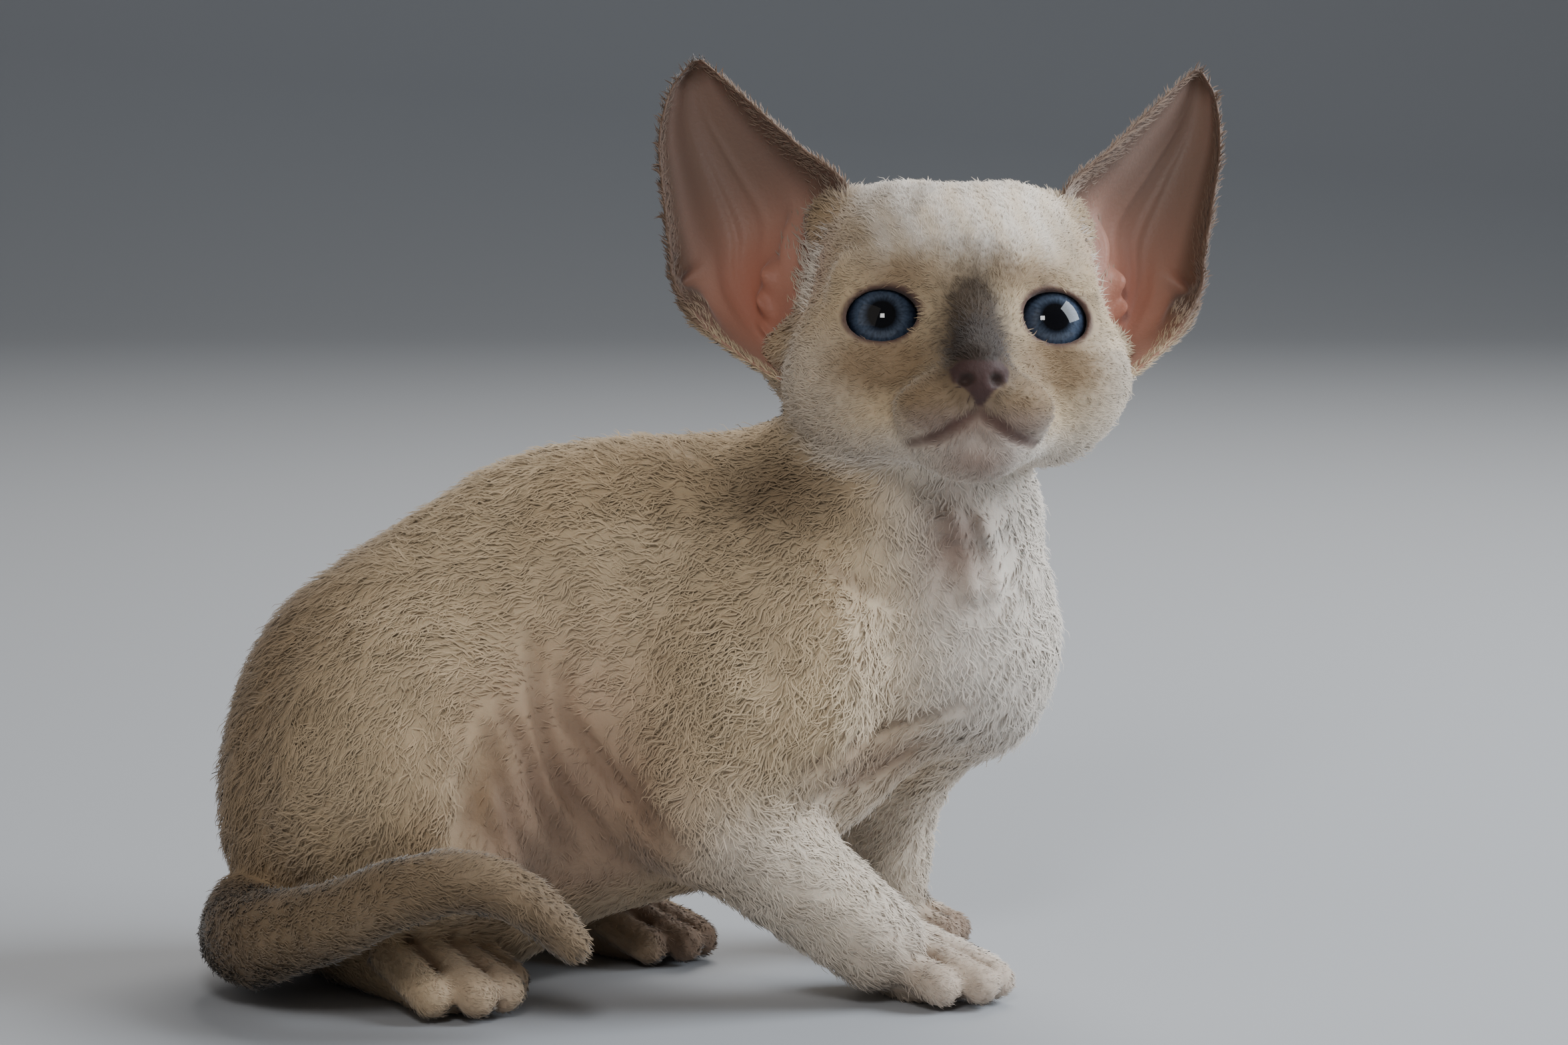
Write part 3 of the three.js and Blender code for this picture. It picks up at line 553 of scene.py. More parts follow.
# Colours, linear
CREAM = np.array((0.66, 0.50, 0.315))
TAN = np.array((0.43, 0.28, 0.145))
WHITE = np.array((0.80, 0.73, 0.65))
PINK = np.array((0.50, 0.29, 0.22))
DARK = np.array((0.030, 0.018, 0.012))
TAUPE = np.array((0.22, 0.145, 0.10))
LEATHER = np.array((0.062, 0.031, 0.027))
LIP = np.array((0.10, 0.045, 0.035))
MASK = np.array((0.045, 0.028, 0.017))
BROWN = np.array((0.165, 0.11, 0.062))
FAWN = np.array((0.45, 0.33, 0.235))
# painted shade for the creases of the loose skin
FOLD_SHADE = np.array((0.17, 0.10, 0.065))
BELLY = np.array((0.36, 0.24, 0.165))
DUSKY = np.array((0.24, 0.145, 0.105))
DUN = np.array((0.27, 0.18, 0.10))
LID = np.array((0.085, 0.042, 0.035))
# Patches in the order they are painted: colour, strength, its limit, place and size in mm
FACE_PATCHES = [
    (DUN, 1.3, 0.95, (22, 15, -7), (11, 11, 6)),
    (DUN, 0.75, 1, (30, 9, -15), (8, 6.5, 4.5)),
    (DUN, 0.9, 1, (22, 11, 8.5), (9, 9, 4.5)),
    (DUN, 0.6, 1, (14, 19, 15), (9, 5.5, 7)),
    (PINK, 0.6, 1, (2, 25, 14), (7, 5, 9)),
    (MASK, 1.35, 0.95, (29, 0, 1.5), (10, 5.8, 8.5)),
    (DARK, 1.5, 0.97, (34, 0, -6), (9, 6.6, 6.5)),
    (DUN, 0.8, 1, (-4, 22, 24), (9, 6, 8)),
    (DUN, 0.7, 1, (-9, 27, 3), (10, 7, 12)),
    (DUSKY, 0.7, 1, (30, 4, -19.5), (7, 9, 2.6)),
    # painted shade under the chin, over its pinkish brown
    (DUSKY, 0.75, 1, (29, 0, -25.5), (9, 9, 4.5)),
]
BODY_PATCHES = [
    (PINK, 0.35, 1, (-28, -32, 54), (15, 22, 16)),
    # the hollow of the belly: partly its own pinkish tan, partly painted shade in the recess
    (BELLY, 1.5, 0.9, (-26, -34, 33), (19, 22, 18)),
    # the throat's hollow: pinkish skin under thin hair, partly painted shade
    (DUSKY, 0.85, 1, (35, -4, 85), (8, 7, 11)),
    (DUSKY, 0.6, 1, (22, -6, 45), (16, 16, 6)),
    (DUN, 0.7, 1, (-60, -38, 8), (22, 14, 10)),
    (FAWN, 0.8, 1, (-42, -38, 4), (12, 14, 9)),
    (FAWN, 0.8, 1, (34, 0, 5), (19, 15, 12)),
    # painted shadow: the two far paws are darkened as they stand in shade
    (TAUPE, 1.33, 0.95, (-28, 16, 4), (20, 13, 14)),
    (TAUPE, 1.26, 0.9, (18, 41, 3), (13, 12, 8)),
]


def painted(base, colour, amount):
    return base + (colour - base) * amount[..., None]


def patched(c, q, patches, amount):
    for colour, strength, most, at, size in patches:
        c = painted(c, colour, amount * np.minimum(strength * spot(q, at, size), most))
    return c


def waves(p, scale, seed):
    """Smooth noise between about -1 and 1, from a few slanted sine waves."""
    r = np.random.default_rng(seed)
    total = np.zeros(len(p))
    for _ in range(5):
        direction = unit(r.normal(size=3)) * r.uniform(0.6, 1.4) / scale
        total += np.sin(p @ direction * 2 * math.pi + r.uniform(0, 6.3))
    return total / 2.6


def beside(p, paths, far, close, chosen):
    """1 nearer than close to one of the paths, 0 past far, for the chosen points; 0 for others."""
    amount = np.zeros(len(p))
    near = np.nonzero(chosen)[0]
    if len(near):
        away = [smooth(far, close, off_path(p[near], path)) for path in paths]
        amount[near] = np.max(away, axis=0)
    return amount


def nose_leather(m):
    """1 on the bare leather of the nose, a blunt triangle seen from the front."""
    levels, widths = zip(*NOSE_WIDTHS)
    half = np.interp(m[:, 2], levels, widths)
    inside = smooth(0.35, -0.35, m[:, 1] - half) * smooth(NOSE_FOOT - 0.5, NOSE_FOOT, m[:, 2])
    return inside * smooth(NOSE_TOP + 0.5, NOSE_TOP, m[:, 2]) * (m[:, 0] > 29)


def face_colour(c, q, m, on_head):
    """The head's markings: white skull, tan round the eyes and on the pads, a dark bridge; painted shade
    under the chin and in the nostrils.
    """
    streak = 0.5 + 0.5 * np.sin(q[:, 1] * 1.1 + 1.3 * np.sin(q[:, 2] * 0.35))
    skull = smooth(5, 15, q[:, 2]) * smooth(24, 14, m[:, 1])
    c = painted(c, WHITE, on_head * 0.75 * skull * (0.55 + 0.45 * streak))
    c = painted(c, WHITE, on_head * 0.7 * smooth(-15, -23, q[:, 2]))
    c = painted(c, WHITE, on_head * 0.35 * smooth(14, 26, m[:, 1]) * smooth(4, -6, q[:, 2]))
    c = patched(c, m, FACE_PATCHES, on_head)
    c = painted(c, LEATHER, on_head * nose_leather(m))
    # painted shade: the nostrils' hollows are darkened over the leather's own dark colour
    c = painted(c, DARK, on_head * smooth(0.25, 0.6, spot(m, NOSTRIL[0], (3, 1.9, 1.4))))
    near = (on_head > 0.5) & (q[:, 0] > 15) & (np.abs(q[:, 2] + 19) < 7)
    lips = beside(m, [MOUTH], 1.9, 0.5, near) + 0.8 * beside(m, [PHILTRUM], 1.0, 0.3, near)
    c = painted(c, LIP, np.minimum(lips, 1))
    c = painted(c, DARK, 0.6 * beside(m, [MOUTH], 0.8, 0.25, near))
    for e, r in eye_views(q):
        c = painted(c, LID, 0.92 * smooth(1.24, 1.08, r) * (np.abs(e).max(axis=1) < 14))
    return c


def head_share(p):
    """How much points belong to the head, and their distances from head, body and tail."""
    dh, db, dt = by_blocks(head, p), by_blocks(headless, p), by_blocks(tail, p)
    return smooth(-4, 4, db - dh) * smooth(16, 10, dh), dh, db, dt


def coat_colour(p):
    """The coat's colour, with painted shade in the creases, between the toes and on the far paws; the
    tail's brown also tints the muzzle, where the body is past FAR.
    """
    q = to_head(p)
    on_head, _, db, dt = head_share(p)
    on_tail = smooth(0, 4, db - dt)
    below = 1 - on_head
    c = np.repeat(CREAM[None], len(p), axis=0)
    c = painted(c, TAN, 0.25 * smooth(0.0, 1, waves(p, 34, 3)))
    # darker towards the rump: partly the coat's own colour, partly painted shade
    c = painted(c, DUN, 0.85 * smooth(-56, -94, p[:, 0]) * below)
    # darker neck behind the jaw: partly darker hair, partly painted shade under the jaw
    c = painted(c, BROWN, 0.9 * spot(p, (5, -14, 96), (17, 15, 11)) * below)
    c = painted(c, WHITE, 0.8 * smooth(16, 36, p[:, 0]) * below)
    c = painted(c, WHITE, 0.5 * smooth(-14, 4, p[:, 0]) * smooth(52, 30, p[:, 2]) * below)
    c = patched(c, p, BODY_PATCHES, below)
    c = painted(c, BROWN, 0.85 * on_tail)
    # painted shade: the coat is darkened along the creases of the loose skin, where shade falls in the
    # folds
    pleated = (p[:, 0] > -50) & (p[:, 0] < 42) & (p[:, 2] < 82)
    c = painted(c, FOLD_SHADE, 0.42 * beside(p, CREASES, 3.0, 0.8, pleated) * below)
    # painted shade: the coat is darkened in the clefts between the toes
    clefts = [path for path, _, _ in TOE_LINES]
    c = painted(c, TAUPE, 0.6 * beside(p, clefts, 1.5, 0.4, p[:, 2] < TOE_TOP))
    c = face_colour(c, q, mirrored(q), on_head)
    return np.clip(c * (1 + 0.05 * waves(p, 8, 5))[:, None], 0, 1)


# Materials


def new_material(name):
    material = bpy.data.materials.new(name)
    material.use_nodes = True
    return material, material.node_tree, material.node_tree.nodes["Principled BSDF"]


def fill(tree, node, inputs):
    """Gives a node's inputs their values, or the outputs that feed them."""
    for name, value in inputs.items():
        if isinstance(value, bpy.types.NodeSocket):
            tree.links.new(value, node.inputs[name])
        else:
            node.inputs[name].default_value = value


def add_node(tree, kind, inputs, operation=None):
    """A new node with its inputs filled; gives its outputs."""
    node = tree.nodes.new("ShaderNode" + kind)
    if operation:
        node.operation = operation
    fill(tree, node, inputs)
    return node.outputs


def coat_material(name, rough, sheen, subsurface=0.0, bump=0.0, scale=900.0):
    """Dull, in the colours of the mesh, with a sheen and, if asked for, depth and a fine grain."""
    material, tree, shader = new_material(name)
    fill(tree, shader, {"Roughness": rough, "Specular IOR Level": 0.25})
    fill(tree, shader, {"Sheen Weight": sheen, "Sheen Roughness": 0.5})
    if subsurface:
        fill(tree, shader, {"Subsurface Weight": subsurface, "Subsurface Scale": 1.0})
        fill(tree, shader, {"Subsurface Radius": (0.002, 0.0009, 0.0006)})
    colour = tree.nodes.new("ShaderNodeAttribute")
    colour.attribute_name = "Coat"
    fill(tree, shader, {"Base Color": colour.outputs["Color"]})
    if bump:
        where = add_node(tree, "TexCoord", {})["Object"]
        noise = add_node(tree, "TexNoise", {"Vector": where, "Scale": scale, "Detail": 3.0})["Fac"]
        bumps = add_node(tree, "Bump", {"Height": noise, "Strength": bump, "Distance": 0.0006})
        fill(tree, shader, {"Normal": bumps["Normal"]})
    return material


FLESH_NODES = [
    "head", "neck", "torso", "tail_base", "tail_mid", "tail_tip", "foreleg_right", "foreleg_left",
    "forepaw_right", "forepaw_left", "hindleg_right", "hindleg_left", "hindpaw_right", "hindpaw_left",
]


def in_head_part(p):
    """True on the head's side of the seam between the fine and the coarse skin."""
    return (p - np.array(SEAM_AT)) @ unit(np.array(SEAM_AXIS)) > 0


def make_skin():
    face_points, face_quads = surface(skin_field, HEAD_BOX, FACE_CELL)
    body_points, body_quads = surface(skin_field, BODY_BOX, BODY_CELL)
    face_quads = face_quads[in_head_part(face_points[face_quads].mean(axis=1) + (0, 0, SEAM_LAP))]
    body_quads = body_quads[~in_head_part(body_points[body_quads].mean(axis=1) - (0, 0, SEAM_LAP))]
    points = np.vstack([face_points, body_points])
    quads = np.vstack([face_quads, body_quads + len(face_points)])
    used = np.unique(quads)
    renumber = np.full(len(points), -1)
    renumber[used] = np.arange(len(used))
    points, quads = points[used], renumber[quads]
    skin = make_mesh("skin", points, quads, coat_colour(points) * SKIN_SHADE)
    skin.data.materials.append(coat_material("skin", 0.6, 0.1, subsurface=0.15, bump=0.3))
    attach(skin, "root")
    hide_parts(*FLESH_NODES)
    return skin, points, quads


def stood(name, data, azimuth, elevation, distance):
    """A camera or light at a distance from the cat, in metres, that looks at it."""
    (ca, sa), (ce, se) = cos_sin(azimuth), cos_sin(elevation)
    away = Vector((sa * ce, -ca * ce, se))
    piece = added(name, data)
    piece.location = Vector(placed(VIEW_TARGET)) + away * distance
    piece.rotation_mode = "QUATERNION"
    piece.rotation_quaternion = (-away).to_track_quat("-Z", "Y")
    return piece


def make_camera():
    data = bpy.data.cameras.new("camera")
    data.lens = LENS
    camera = stood("camera", data, VIEW_AZIMUTH, VIEW_ELEVATION, VIEW_DISTANCE * MM)
    bpy.context.scene.camera = camera


# Area lights: azimuth from the camera's, elevation, distance and size in metres, watts, colour
LIGHTS = {
    "window": (86, 32, 1.1, 0.7, 19, (0.86, 0.93, 1.0)),
    "rim": (165, 50, 1.2, 0.8, 10, (1.0, 0.97, 0.92)),
    "fill": (-45, 30, 1.5, 1.4, 2.6, (1.0, 0.90, 0.78)),
    "glint": (-3, 32, 0.9, 0.16, 2.6, (1.0, 1.0, 1.0)),
}
WORLD_COLOUR, WORLD_STRENGTH = (0.62, 0.64, 0.67, 1), 0.20
FLOOR_COLOUR = (0.40, 0.41, 0.43, 1)


def make_lights():
    for name, (azimuth, elevation, distance, size, power, colour) in LIGHTS.items():
        data = bpy.data.lights.new(name, "AREA")
        data.size = size
        data.energy = power
        data.color = colour
        stood(name, data, VIEW_AZIMUTH + azimuth, elevation, distance)
    world = bpy.data.worlds.new("world")
    world.use_nodes = True
    tree = world.node_tree
    fill(tree, tree.nodes["Background"], {"Color": WORLD_COLOUR, "Strength": WORLD_STRENGTH})
    bpy.context.scene.world = world


def make_floor():
    """A pale sheet that lies flat under the cat and bends up far behind it."""
    ahead, flat, bend, top = -1200.0, 1500.0, 900.0, 2200.0
    turn = np.linspace(0, math.pi / 2, 24)
    run = np.concatenate([[ahead], flat + bend * np.sin(turn), [flat + bend]])
    rise = np.concatenate([[0], bend * (1 - np.cos(turn)), [top]])
    c, s = cos_sin(VIEW_AZIMUTH)
    away, across = np.array((-s, c, 0)), np.array((c, s, 0))
    rows = [away * r + np.array((0, 0, z)) + across * side
            for r, z in zip(run, rise) for side in (-3000, 3000)]
    faces = [[2 * i, 2 * i + 1, 2 * i + 3, 2 * i + 2] for i in range(len(run) - 1)]
    sheet = make_mesh("floor", np.array(rows), faces)
    material, tree, shader = new_material("floor")
    fill(tree, shader, {"Base Color": FLOOR_COLOUR, "Roughness": 0.9})
    sheet.data.materials.append(material)


# Ears: cupped shells between an inner and an outer edge, given in the head's frame
EAR_INNER = [
    (1, 22, -2), (3, 23.5, 6), (1.5, 21, 19), (-1, 19, 29.5),
    (-4, 27.8, 38), (-7, 36.5, 46.8), (-9.5, 41.8, 52.3), (-10, 44.8, 55),
]
EAR_OUTER = [
    (-2, 31, -6), (-3.5, 38.5, -1), (-6, 47.3, 6.5), (-8, 50, 16),
    (-9, 51.8, 30), (-10, 52.3, 40.5), (-10.4, 50.2, 49.3), (-10.6, 46.3, 54.8),
]
EAR_CUP = [9, 14, 16, 15.5, 12, 8, 4, 0.3]
EAR_BACK = np.array((-0.97, 0.12, 0.2))
EAR_ROWS = 110
EAR_COLUMNS = 56
EAR_THICKNESS = 1.4
EAR_TURN = {"from": 20, "width": 0.87, "out": 4, "height": 50}
# Gristle and folds on the ear's inner face: place across and up, their spreads, and height
EAR_RELIEF = [
    ((0.31, 0.25), (0.05, 0.035), 3.6),
    ((0.39, 0.20), (0.05, 0.03), 3.0),
    ((0.23, 0.33), (0.03, 0.08), 2.2),
    ((0.50, 0.14), (0.07, 0.03), 1.3),
    ((0.55, 0.42), (0.03, 0.18), 0.5),
    ((0.38, 0.50), (0.025, 0.18), 0.45),
    ((0.72, 0.30), (0.05, 0.10), 0.6),
    ((0.93, 0.28), (0.07, 0.06), 2.4),
    ((0.87, 0.37), (0.06, 0.025), -2.6),
    ((0.95, 0.41), (0.05, 0.03), -1.4),
]
EAR_PINK = np.array((0.40, 0.21, 0.15))
EAR_DEEP = np.array((0.38, 0.13, 0.08))
EAR_DUSK = np.array((0.20, 0.13, 0.10))
EAR_RIM = np.array((0.085, 0.048, 0.03))


def ear_surface(u, v, side):
    """Points of the ear's middle surface; u runs from the inner to the outer edge, v up to the tip."""
    inner, outer = spline(EAR_INNER, 20), spline(EAR_OUTER, 20)
    cups = spline([(c, 0) for c in EAR_CUP], 20)[:, 0]
    rows = np.arange(len(inner))
    at = v * rows[-1]
    a = np.stack([np.interp(at, rows, inner[:, i]) for i in range(3)], axis=-1)
    b = np.stack([np.interp(at, rows, outer[:, i]) for i in range(3)], axis=-1)
    cup = np.maximum(np.interp(at, rows, cups), 0) * np.sin(math.pi * u) ** 0.8
    p = a + (b - a) * u[..., None] + cup[..., None] * EAR_BACK
    if side > 0:
        out = EAR_TURN["out"] * (p[..., 2] / EAR_TURN["height"]) ** 2
        p[..., 1] = EAR_TURN["from"] + EAR_TURN["width"] * (p[..., 1] - EAR_TURN["from"]) + out
    return p


def ear_spot(u, v, at, size):
    return np.exp(-(((u - at[0]) / size[0]) ** 2) - ((v - at[1]) / size[1]) ** 2)


def ear_sheets(side):
    """The ear's front and back sheets on one grid, in the head's frame."""
    rows, columns = np.linspace(0, 1, EAR_ROWS + 1), np.linspace(0, 1, EAR_COLUMNS + 1)
    v, u = np.meshgrid(rows, columns, indexing="ij")
    middle = ear_surface(u, v, side)
    du = ear_surface(np.minimum(u + 0.01, 1), v, side) - ear_surface(np.maximum(u - 0.01, 0), v, side)
    dv = ear_surface(u, np.minimum(v + 0.01, 1), side) - ear_surface(u, np.maximum(v - 0.01, 0), side)
    normal = unit(np.cross(du, dv))
    thick = EAR_THICKNESS * (1 - 0.5 * v) * (0.5 + 0.5 * np.sin(math.pi * u))
    relief = np.zeros(u.shape)
    for at, size, height in EAR_RELIEF:
        relief += height * ear_spot(u, v, at, size)
    front = middle + normal * (thick / 2 + relief)[..., None]
    back = middle - normal * (thick / 2 - np.minimum(relief, 0))[..., None]
    mirror = np.array((1, side, 1))
    return u, v, front * mirror, back * mirror


def ear_colours(u, v):
    """Front and back colours: a pink cup that gets dusky to the tip, dark rims, painted shade in the
    pocket at the outer edge, a grey brown back.
    """
    edge = np.max([smooth(0.20, 0.06, u), smooth(0.82, 0.93, u), smooth(0.80, 0.93, v)], axis=0)
    deep, pocket_shade = ear_spot(u, v, (0.45, 0.22), (0.28, 0.16)), ear_spot(u, v, (0.93, 0.33), (0.08, 0.10))
    front = painted(np.broadcast_to(EAR_PINK, u.shape + (3,)), EAR_DUSK, 0.95 * smooth(0.22, 0.6, v))
    front = painted(front, EAR_DEEP, 0.8 * deep)
    front = painted(front, EAR_RIM, 0.85 * edge * smooth(0.16, 0.34, v))
    # painted shade: the pocket in the outer edge is darkened with the rim's colour
    front = painted(front, EAR_RIM, 0.95 * pocket_shade)
    back = painted(np.broadcast_to(TAUPE, u.shape + (3,)), CREAM, 0.7 * smooth(0.45, 0.05, v))
    return front, painted(back, EAR_RIM, 0.5 * edge)


def make_ear(name, side):
    """An ear's shell, and its grid for the hair that grows on it."""
    u, v, front, back = ear_sheets(side)
    front_colour, back_colour = ear_colours(u, v)
    count = u.size
    points = from_head(np.concatenate([front.reshape(-1, 3), back.reshape(-1, 3)]))
    colours = np.concatenate([front_colour.reshape(-1, 3), back_colour.reshape(-1, 3)])
    ids = np.arange(count).reshape(u.shape)
    a, b, c, d = ids[:-1, :-1], ids[:-1, 1:], ids[1:, 1:], ids[1:, :-1]
    rim = np.concatenate([ids[0, :-1], ids[:-1, -1], ids[-1, :0:-1], ids[:0:-1, 0]])
    after = np.roll(rim, -1)
    quads = np.concatenate([
        np.stack([a, b, c, d], axis=-1).reshape(-1, 4),
        np.stack([a, d, c, b], axis=-1).reshape(-1, 4) + count,
        np.stack([rim, rim + count, after + count, after], axis=-1),
    ])
    if side < 0:
        quads = quads[:, ::-1]
    shell = make_mesh(name + "_shell", points, quads, colours)
    shell.data.materials.append(coat_material(name, 0.5, 0.15, subsurface=0.12, bump=0.2, scale=1400.0))
    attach(shell, "root")
    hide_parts(name)
    return shell, points, quads, {"u": np.tile(u.ravel(), 2), "v": np.tile(v.ravel(), 2), "count": count}


# Eyes

IRIS = [
    (0.0, (0.002, 0.002, 0.003)), (0.29, (0.003, 0.003, 0.004)), (0.34, (0.014, 0.019, 0.030)),
    (0.45, (0.052, 0.068, 0.098)), (0.58, (0.040, 0.056, 0.088)), (0.68, (0.012, 0.018, 0.032)),
    (0.76, (0.004, 0.006, 0.010)), (0.84, (0.02, 0.012, 0.010)),
]


def eye_material(name):
    """Pupil, streaked iris and dark rim by the angle from the ball's own X axis, under a wet coat."""
    material, tree, shader = new_material(name)
    fill(tree, shader, {"Roughness": 0.5, "Specular IOR Level": 0.0})
    fill(tree, shader, {"Coat Weight": 1.0, "Coat Roughness": 0.01, "Coat IOR": 1.38})
    where = add_node(tree, "TexCoord", {})["Object"]
    split = add_node(tree, "SeparateXYZ", {"Vector": where})
    flat = add_node(tree, "CombineXYZ", {"Y": split["Y"], "Z": split["Z"]})["Vector"]
    away = add_node(tree, "VectorMath", {0: flat}, "LENGTH")["Value"]
    away = add_node(tree, "Math", {0: away, 1: 1.0 / (EYE_RADIUS * MM)}, "MULTIPLY")["Value"]
    ramp = tree.nodes.new("ShaderNodeValToRGB")
    fill(tree, ramp, {"Fac": away})
    elements = ramp.color_ramp.elements
    while len(elements) < len(IRIS):
        elements.new(0.5)
    for element, (place, colour) in zip(elements, IRIS):
        element.position = place
        element.color = (*colour, 1)
    angle = add_node(tree, "Math", {0: split["Y"], 1: split["Z"]}, "ARCTAN2")["Value"]
    streaks = add_node(tree, "CombineXYZ", {"X": angle, "Y": away})["Vector"]
    noise = add_node(tree, "TexNoise", {"Vector": streaks, "Scale": 9.0, "Detail": 4.0})["Fac"]
    spread = {"From Min": 0.3, "From Max": 0.7, "To Min": 0.65, "To Max": 1.45}
    strength = add_node(tree, "MapRange", {"Value": noise, **spread})["Result"]
    shade = tree.nodes.new("ShaderNodeMix")
    shade.data_type = "RGBA"
    shade.blend_type = "MULTIPLY"
    fill(tree, shade, {"Factor": 1.0, 6: ramp.outputs["Color"], 7: strength})
    fill(tree, shader, {"Base Color": shade.outputs[2]})
    return material


def make_eye(name, side):
    """A ball with iris and pupil about its own X axis, looking out along the socket."""
    axis = unit(np.array(EYE_AXIS) * (1, side, 1)) @ BASIS
    rows, columns = 48, 64
    tilts = np.linspace(0.02, math.pi - 0.02, rows)
    turns = np.arange(columns) * 2 * math.pi / columns
    tilt, turn = np.meshgrid(tilts, turns, indexing="ij")
    ball = np.stack([np.cos(tilt), np.sin(tilt) * np.cos(turn), np.sin(tilt) * np.sin(turn)], axis=-1)
    ids = np.arange(rows * columns).reshape(rows, columns)
    after = np.roll(ids, -1, axis=1)
    quads = np.stack([ids[:-1], ids[1:], after[1:], after[:-1]], axis=-1).reshape(-1, 4)
    mesh = bpy.data.meshes.new(name + "_ball")
    caps = [ids[0].tolist(), ids[-1].tolist()[::-1]]
    mesh.from_pydata((ball.reshape(-1, 3) * EYE_RADIUS * MM).tolist(), [], quads.tolist() + caps)
    mesh.polygons.foreach_set("use_smooth", np.full(len(mesh.polygons), True))
    mesh.materials.append(eye_material(name))
    piece = added(name + "_ball", mesh)
    place = Matrix.Translation(Vector(placed(from_head(np.array(EYE_AT) * (1, side, 1)))))
    piece.matrix_world = place @ Vector(axis).to_track_quat("X", "Z").to_matrix().to_4x4()
    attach(piece, "root")
    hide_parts(name)


# Coat: tufts of hair that lie along the body. Each stretch below says which way the hair lies near
# it, in the head's or the cat's frame, and how far to the side it counts.
BROW_LIES = [
    ((34, 0, -6), (16, 0, 12), 8), ((16, 0, 14), (-24, 0, 26), 16), ((25, 0, -25), (2, 0, -30), 9),
]
CHEEK_LIES = [
    ((28, 8, -13), (-4, 30, -10), 12), ((16, 20, 4), (-14, 27, 8), 9),
    ((28, 6, -4), (20, 20, -6), 6), ((34, 2, -16), (27, 13, -18), 5),
]
TAIL_LIE = 7
BODY_LIES = [
    ((14, 14, 112), (-6, 6, 96), 14), ((38, -2, 92), (46, 10, 62), 16),
    ((46, 10, 62), (34, 14, 46), 12), ((0, 6, 98), (-45, -6, 98), 22),
    ((-45, -6, 98), (-88, -12, 74), 20), ((-90, -14, 72), (-98, -16, 25), 18),
    ((14, -22, 86), (-2, -30, 62), 16), ((-2, -30, 62), (-10, -32, 40), 14),
    ((-14, -26, 72), (-56, -44, 60), 16), ((-8, -22, 40), (18, -4, 13), 12),
    ((18, -4, 13), (44, 8, 3), 9), ((34, 34, 76), (18, 44, 46), 16),
    ((10, 38, 42), (6, 44, 12), 11), ((6, 40, 12), (26, 41, 3), 9),
    ((-12, 30, 70), (-56, 20, 60), 18), ((-62, -48, 66), (-46, -54, 42), 15),
    ((-46, -52, 42), (-74, -40, 20), 10), ((-78, -32, 12), (-34, -42, 3), 9),
    ((-58, 22, 60), (-44, 28, 36), 15), ((-60, 16, 12), (-18, 14, 3), 9),
    ((20, 10, 42), (-50, -4, 18), 14),
]
# What grows where: length, width, lift and waviness in mm, and how thickly beside the others
GROWTH = {
    "body": (3.8, 0.33, 1.05, 0.50, 1.45),
    "head": (2.7, 0.30, 0.85, 0.15, 2.3),
    "face": (1.7, 0.24, 0.40, 0.04, 4.0),
    "leg": (3.0, 0.30, 0.80, 0.40, 1.9),
    "paw": (1.5, 0.27, 0.35, 0.05, 3.0),
    "tail": (2.5, 0.33, 0.75, 0.15, 2.3),
}
# Thin hair over loose skin and long curls at the shoulder, by place and size: what the curls add to
# the first four, and which share of the first three is lost where the hair is thin
THIN_PATCHES = [((-27, -32, 40), (14, 22, 22)), ((38, 0, 84), (9, 8, 12))]
CURLY_PATCH = ((-4, -24, 54), (19, 18, 24))
CURLY_MORE = (1.6, 0.04, 0.45, 0.5)
THIN_LESS = (0.35, 0.15, 0.5)
TUFT_COUNT = 124000
EAR_TUFTS = 6800
LONG_TUFT = 3.2
SHORT_RINGS = 2
# Kind of tuft, its rings of corners and how many make one piece
KINDS = (("long", 3, 12000), ("short", SHORT_RINGS, 19000))
# A tuft's section, in widths, the share of its width that it loses, and its painted shading from root to
# tip: painted shade at the roots deep in the coat, painted light at the tips
SECTION = ((-0.5, 0.0), (0.5, 0.0), (0.0, 0.4))
NARROWING = 0.7
ROOT_SHADE, SHADE_GAIN, TIP_SHADE = 0.93, 0.11, 1.06
ROOT_SINK = 0.3
WAVE_NUMBER = 1.15
CLUMP, CLUMP_TURN, CLUMP_REACH, CLUMP_PULL = 8, 0.28, 2.5, 0.3
TONE_SPREAD = 0.04
PATCH, PATCH_TURN = 0.0015, 2.4


def lie_of_coat(p):
    lines = [(np.array(a, float), np.array(b, float), size) for a, b, size in BODY_LIES]
    lines += [(from_head(a), from_head(b), size) for a, b, size in BROW_LIES]
    for side in (1, -1):
        mirror = np.array((1, side, 1))
        lines += [(from_head(a * mirror), from_head(b * mirror), size) for a, b, size in CHEEK_LIES]
    lines += [(a[:3], b[:3], TAIL_LIE) for a, b in zip(TAIL_LINE, TAIL_LINE[1:])]
    total = np.zeros((len(p), 3))
    for a, b, size in lines:
        away = stretch(p, a, b)[1]
        total += unit(b - a) * (np.exp(-((away / size) ** 2) * 1.5)[:, None] + 1e-6)
    return total


def unwrap(piece):
    """A UV map of the piece's own shape; gives each face corner's place in it."""
    bpy.context.view_layer.objects.active = piece
    piece.select_set(True)
    bpy.ops.object.mode_set(mode="EDIT")
    bpy.ops.mesh.select_all(action="SELECT")
    bpy.ops.uv.smart_project(angle_limit=math.radians(70), island_margin=0.001)
    bpy.ops.object.mode_set(mode="OBJECT")
    piece.select_set(False)
    layer = piece.data.uv_layers.active
    layer.name = "OFBake"
    uv = np.empty(len(piece.data.loops) * 2, "f4")
    layer.uv.foreach_get("vector", uv)
    return uv.reshape(-1, 4, 2)


def vertex_normals(piece):
    normals = np.empty(len(piece.data.vertices) * 3, "f4")
    piece.data.vertices.foreach_get("normal", normals)
    return normals.reshape(-1, 3).astype(float)


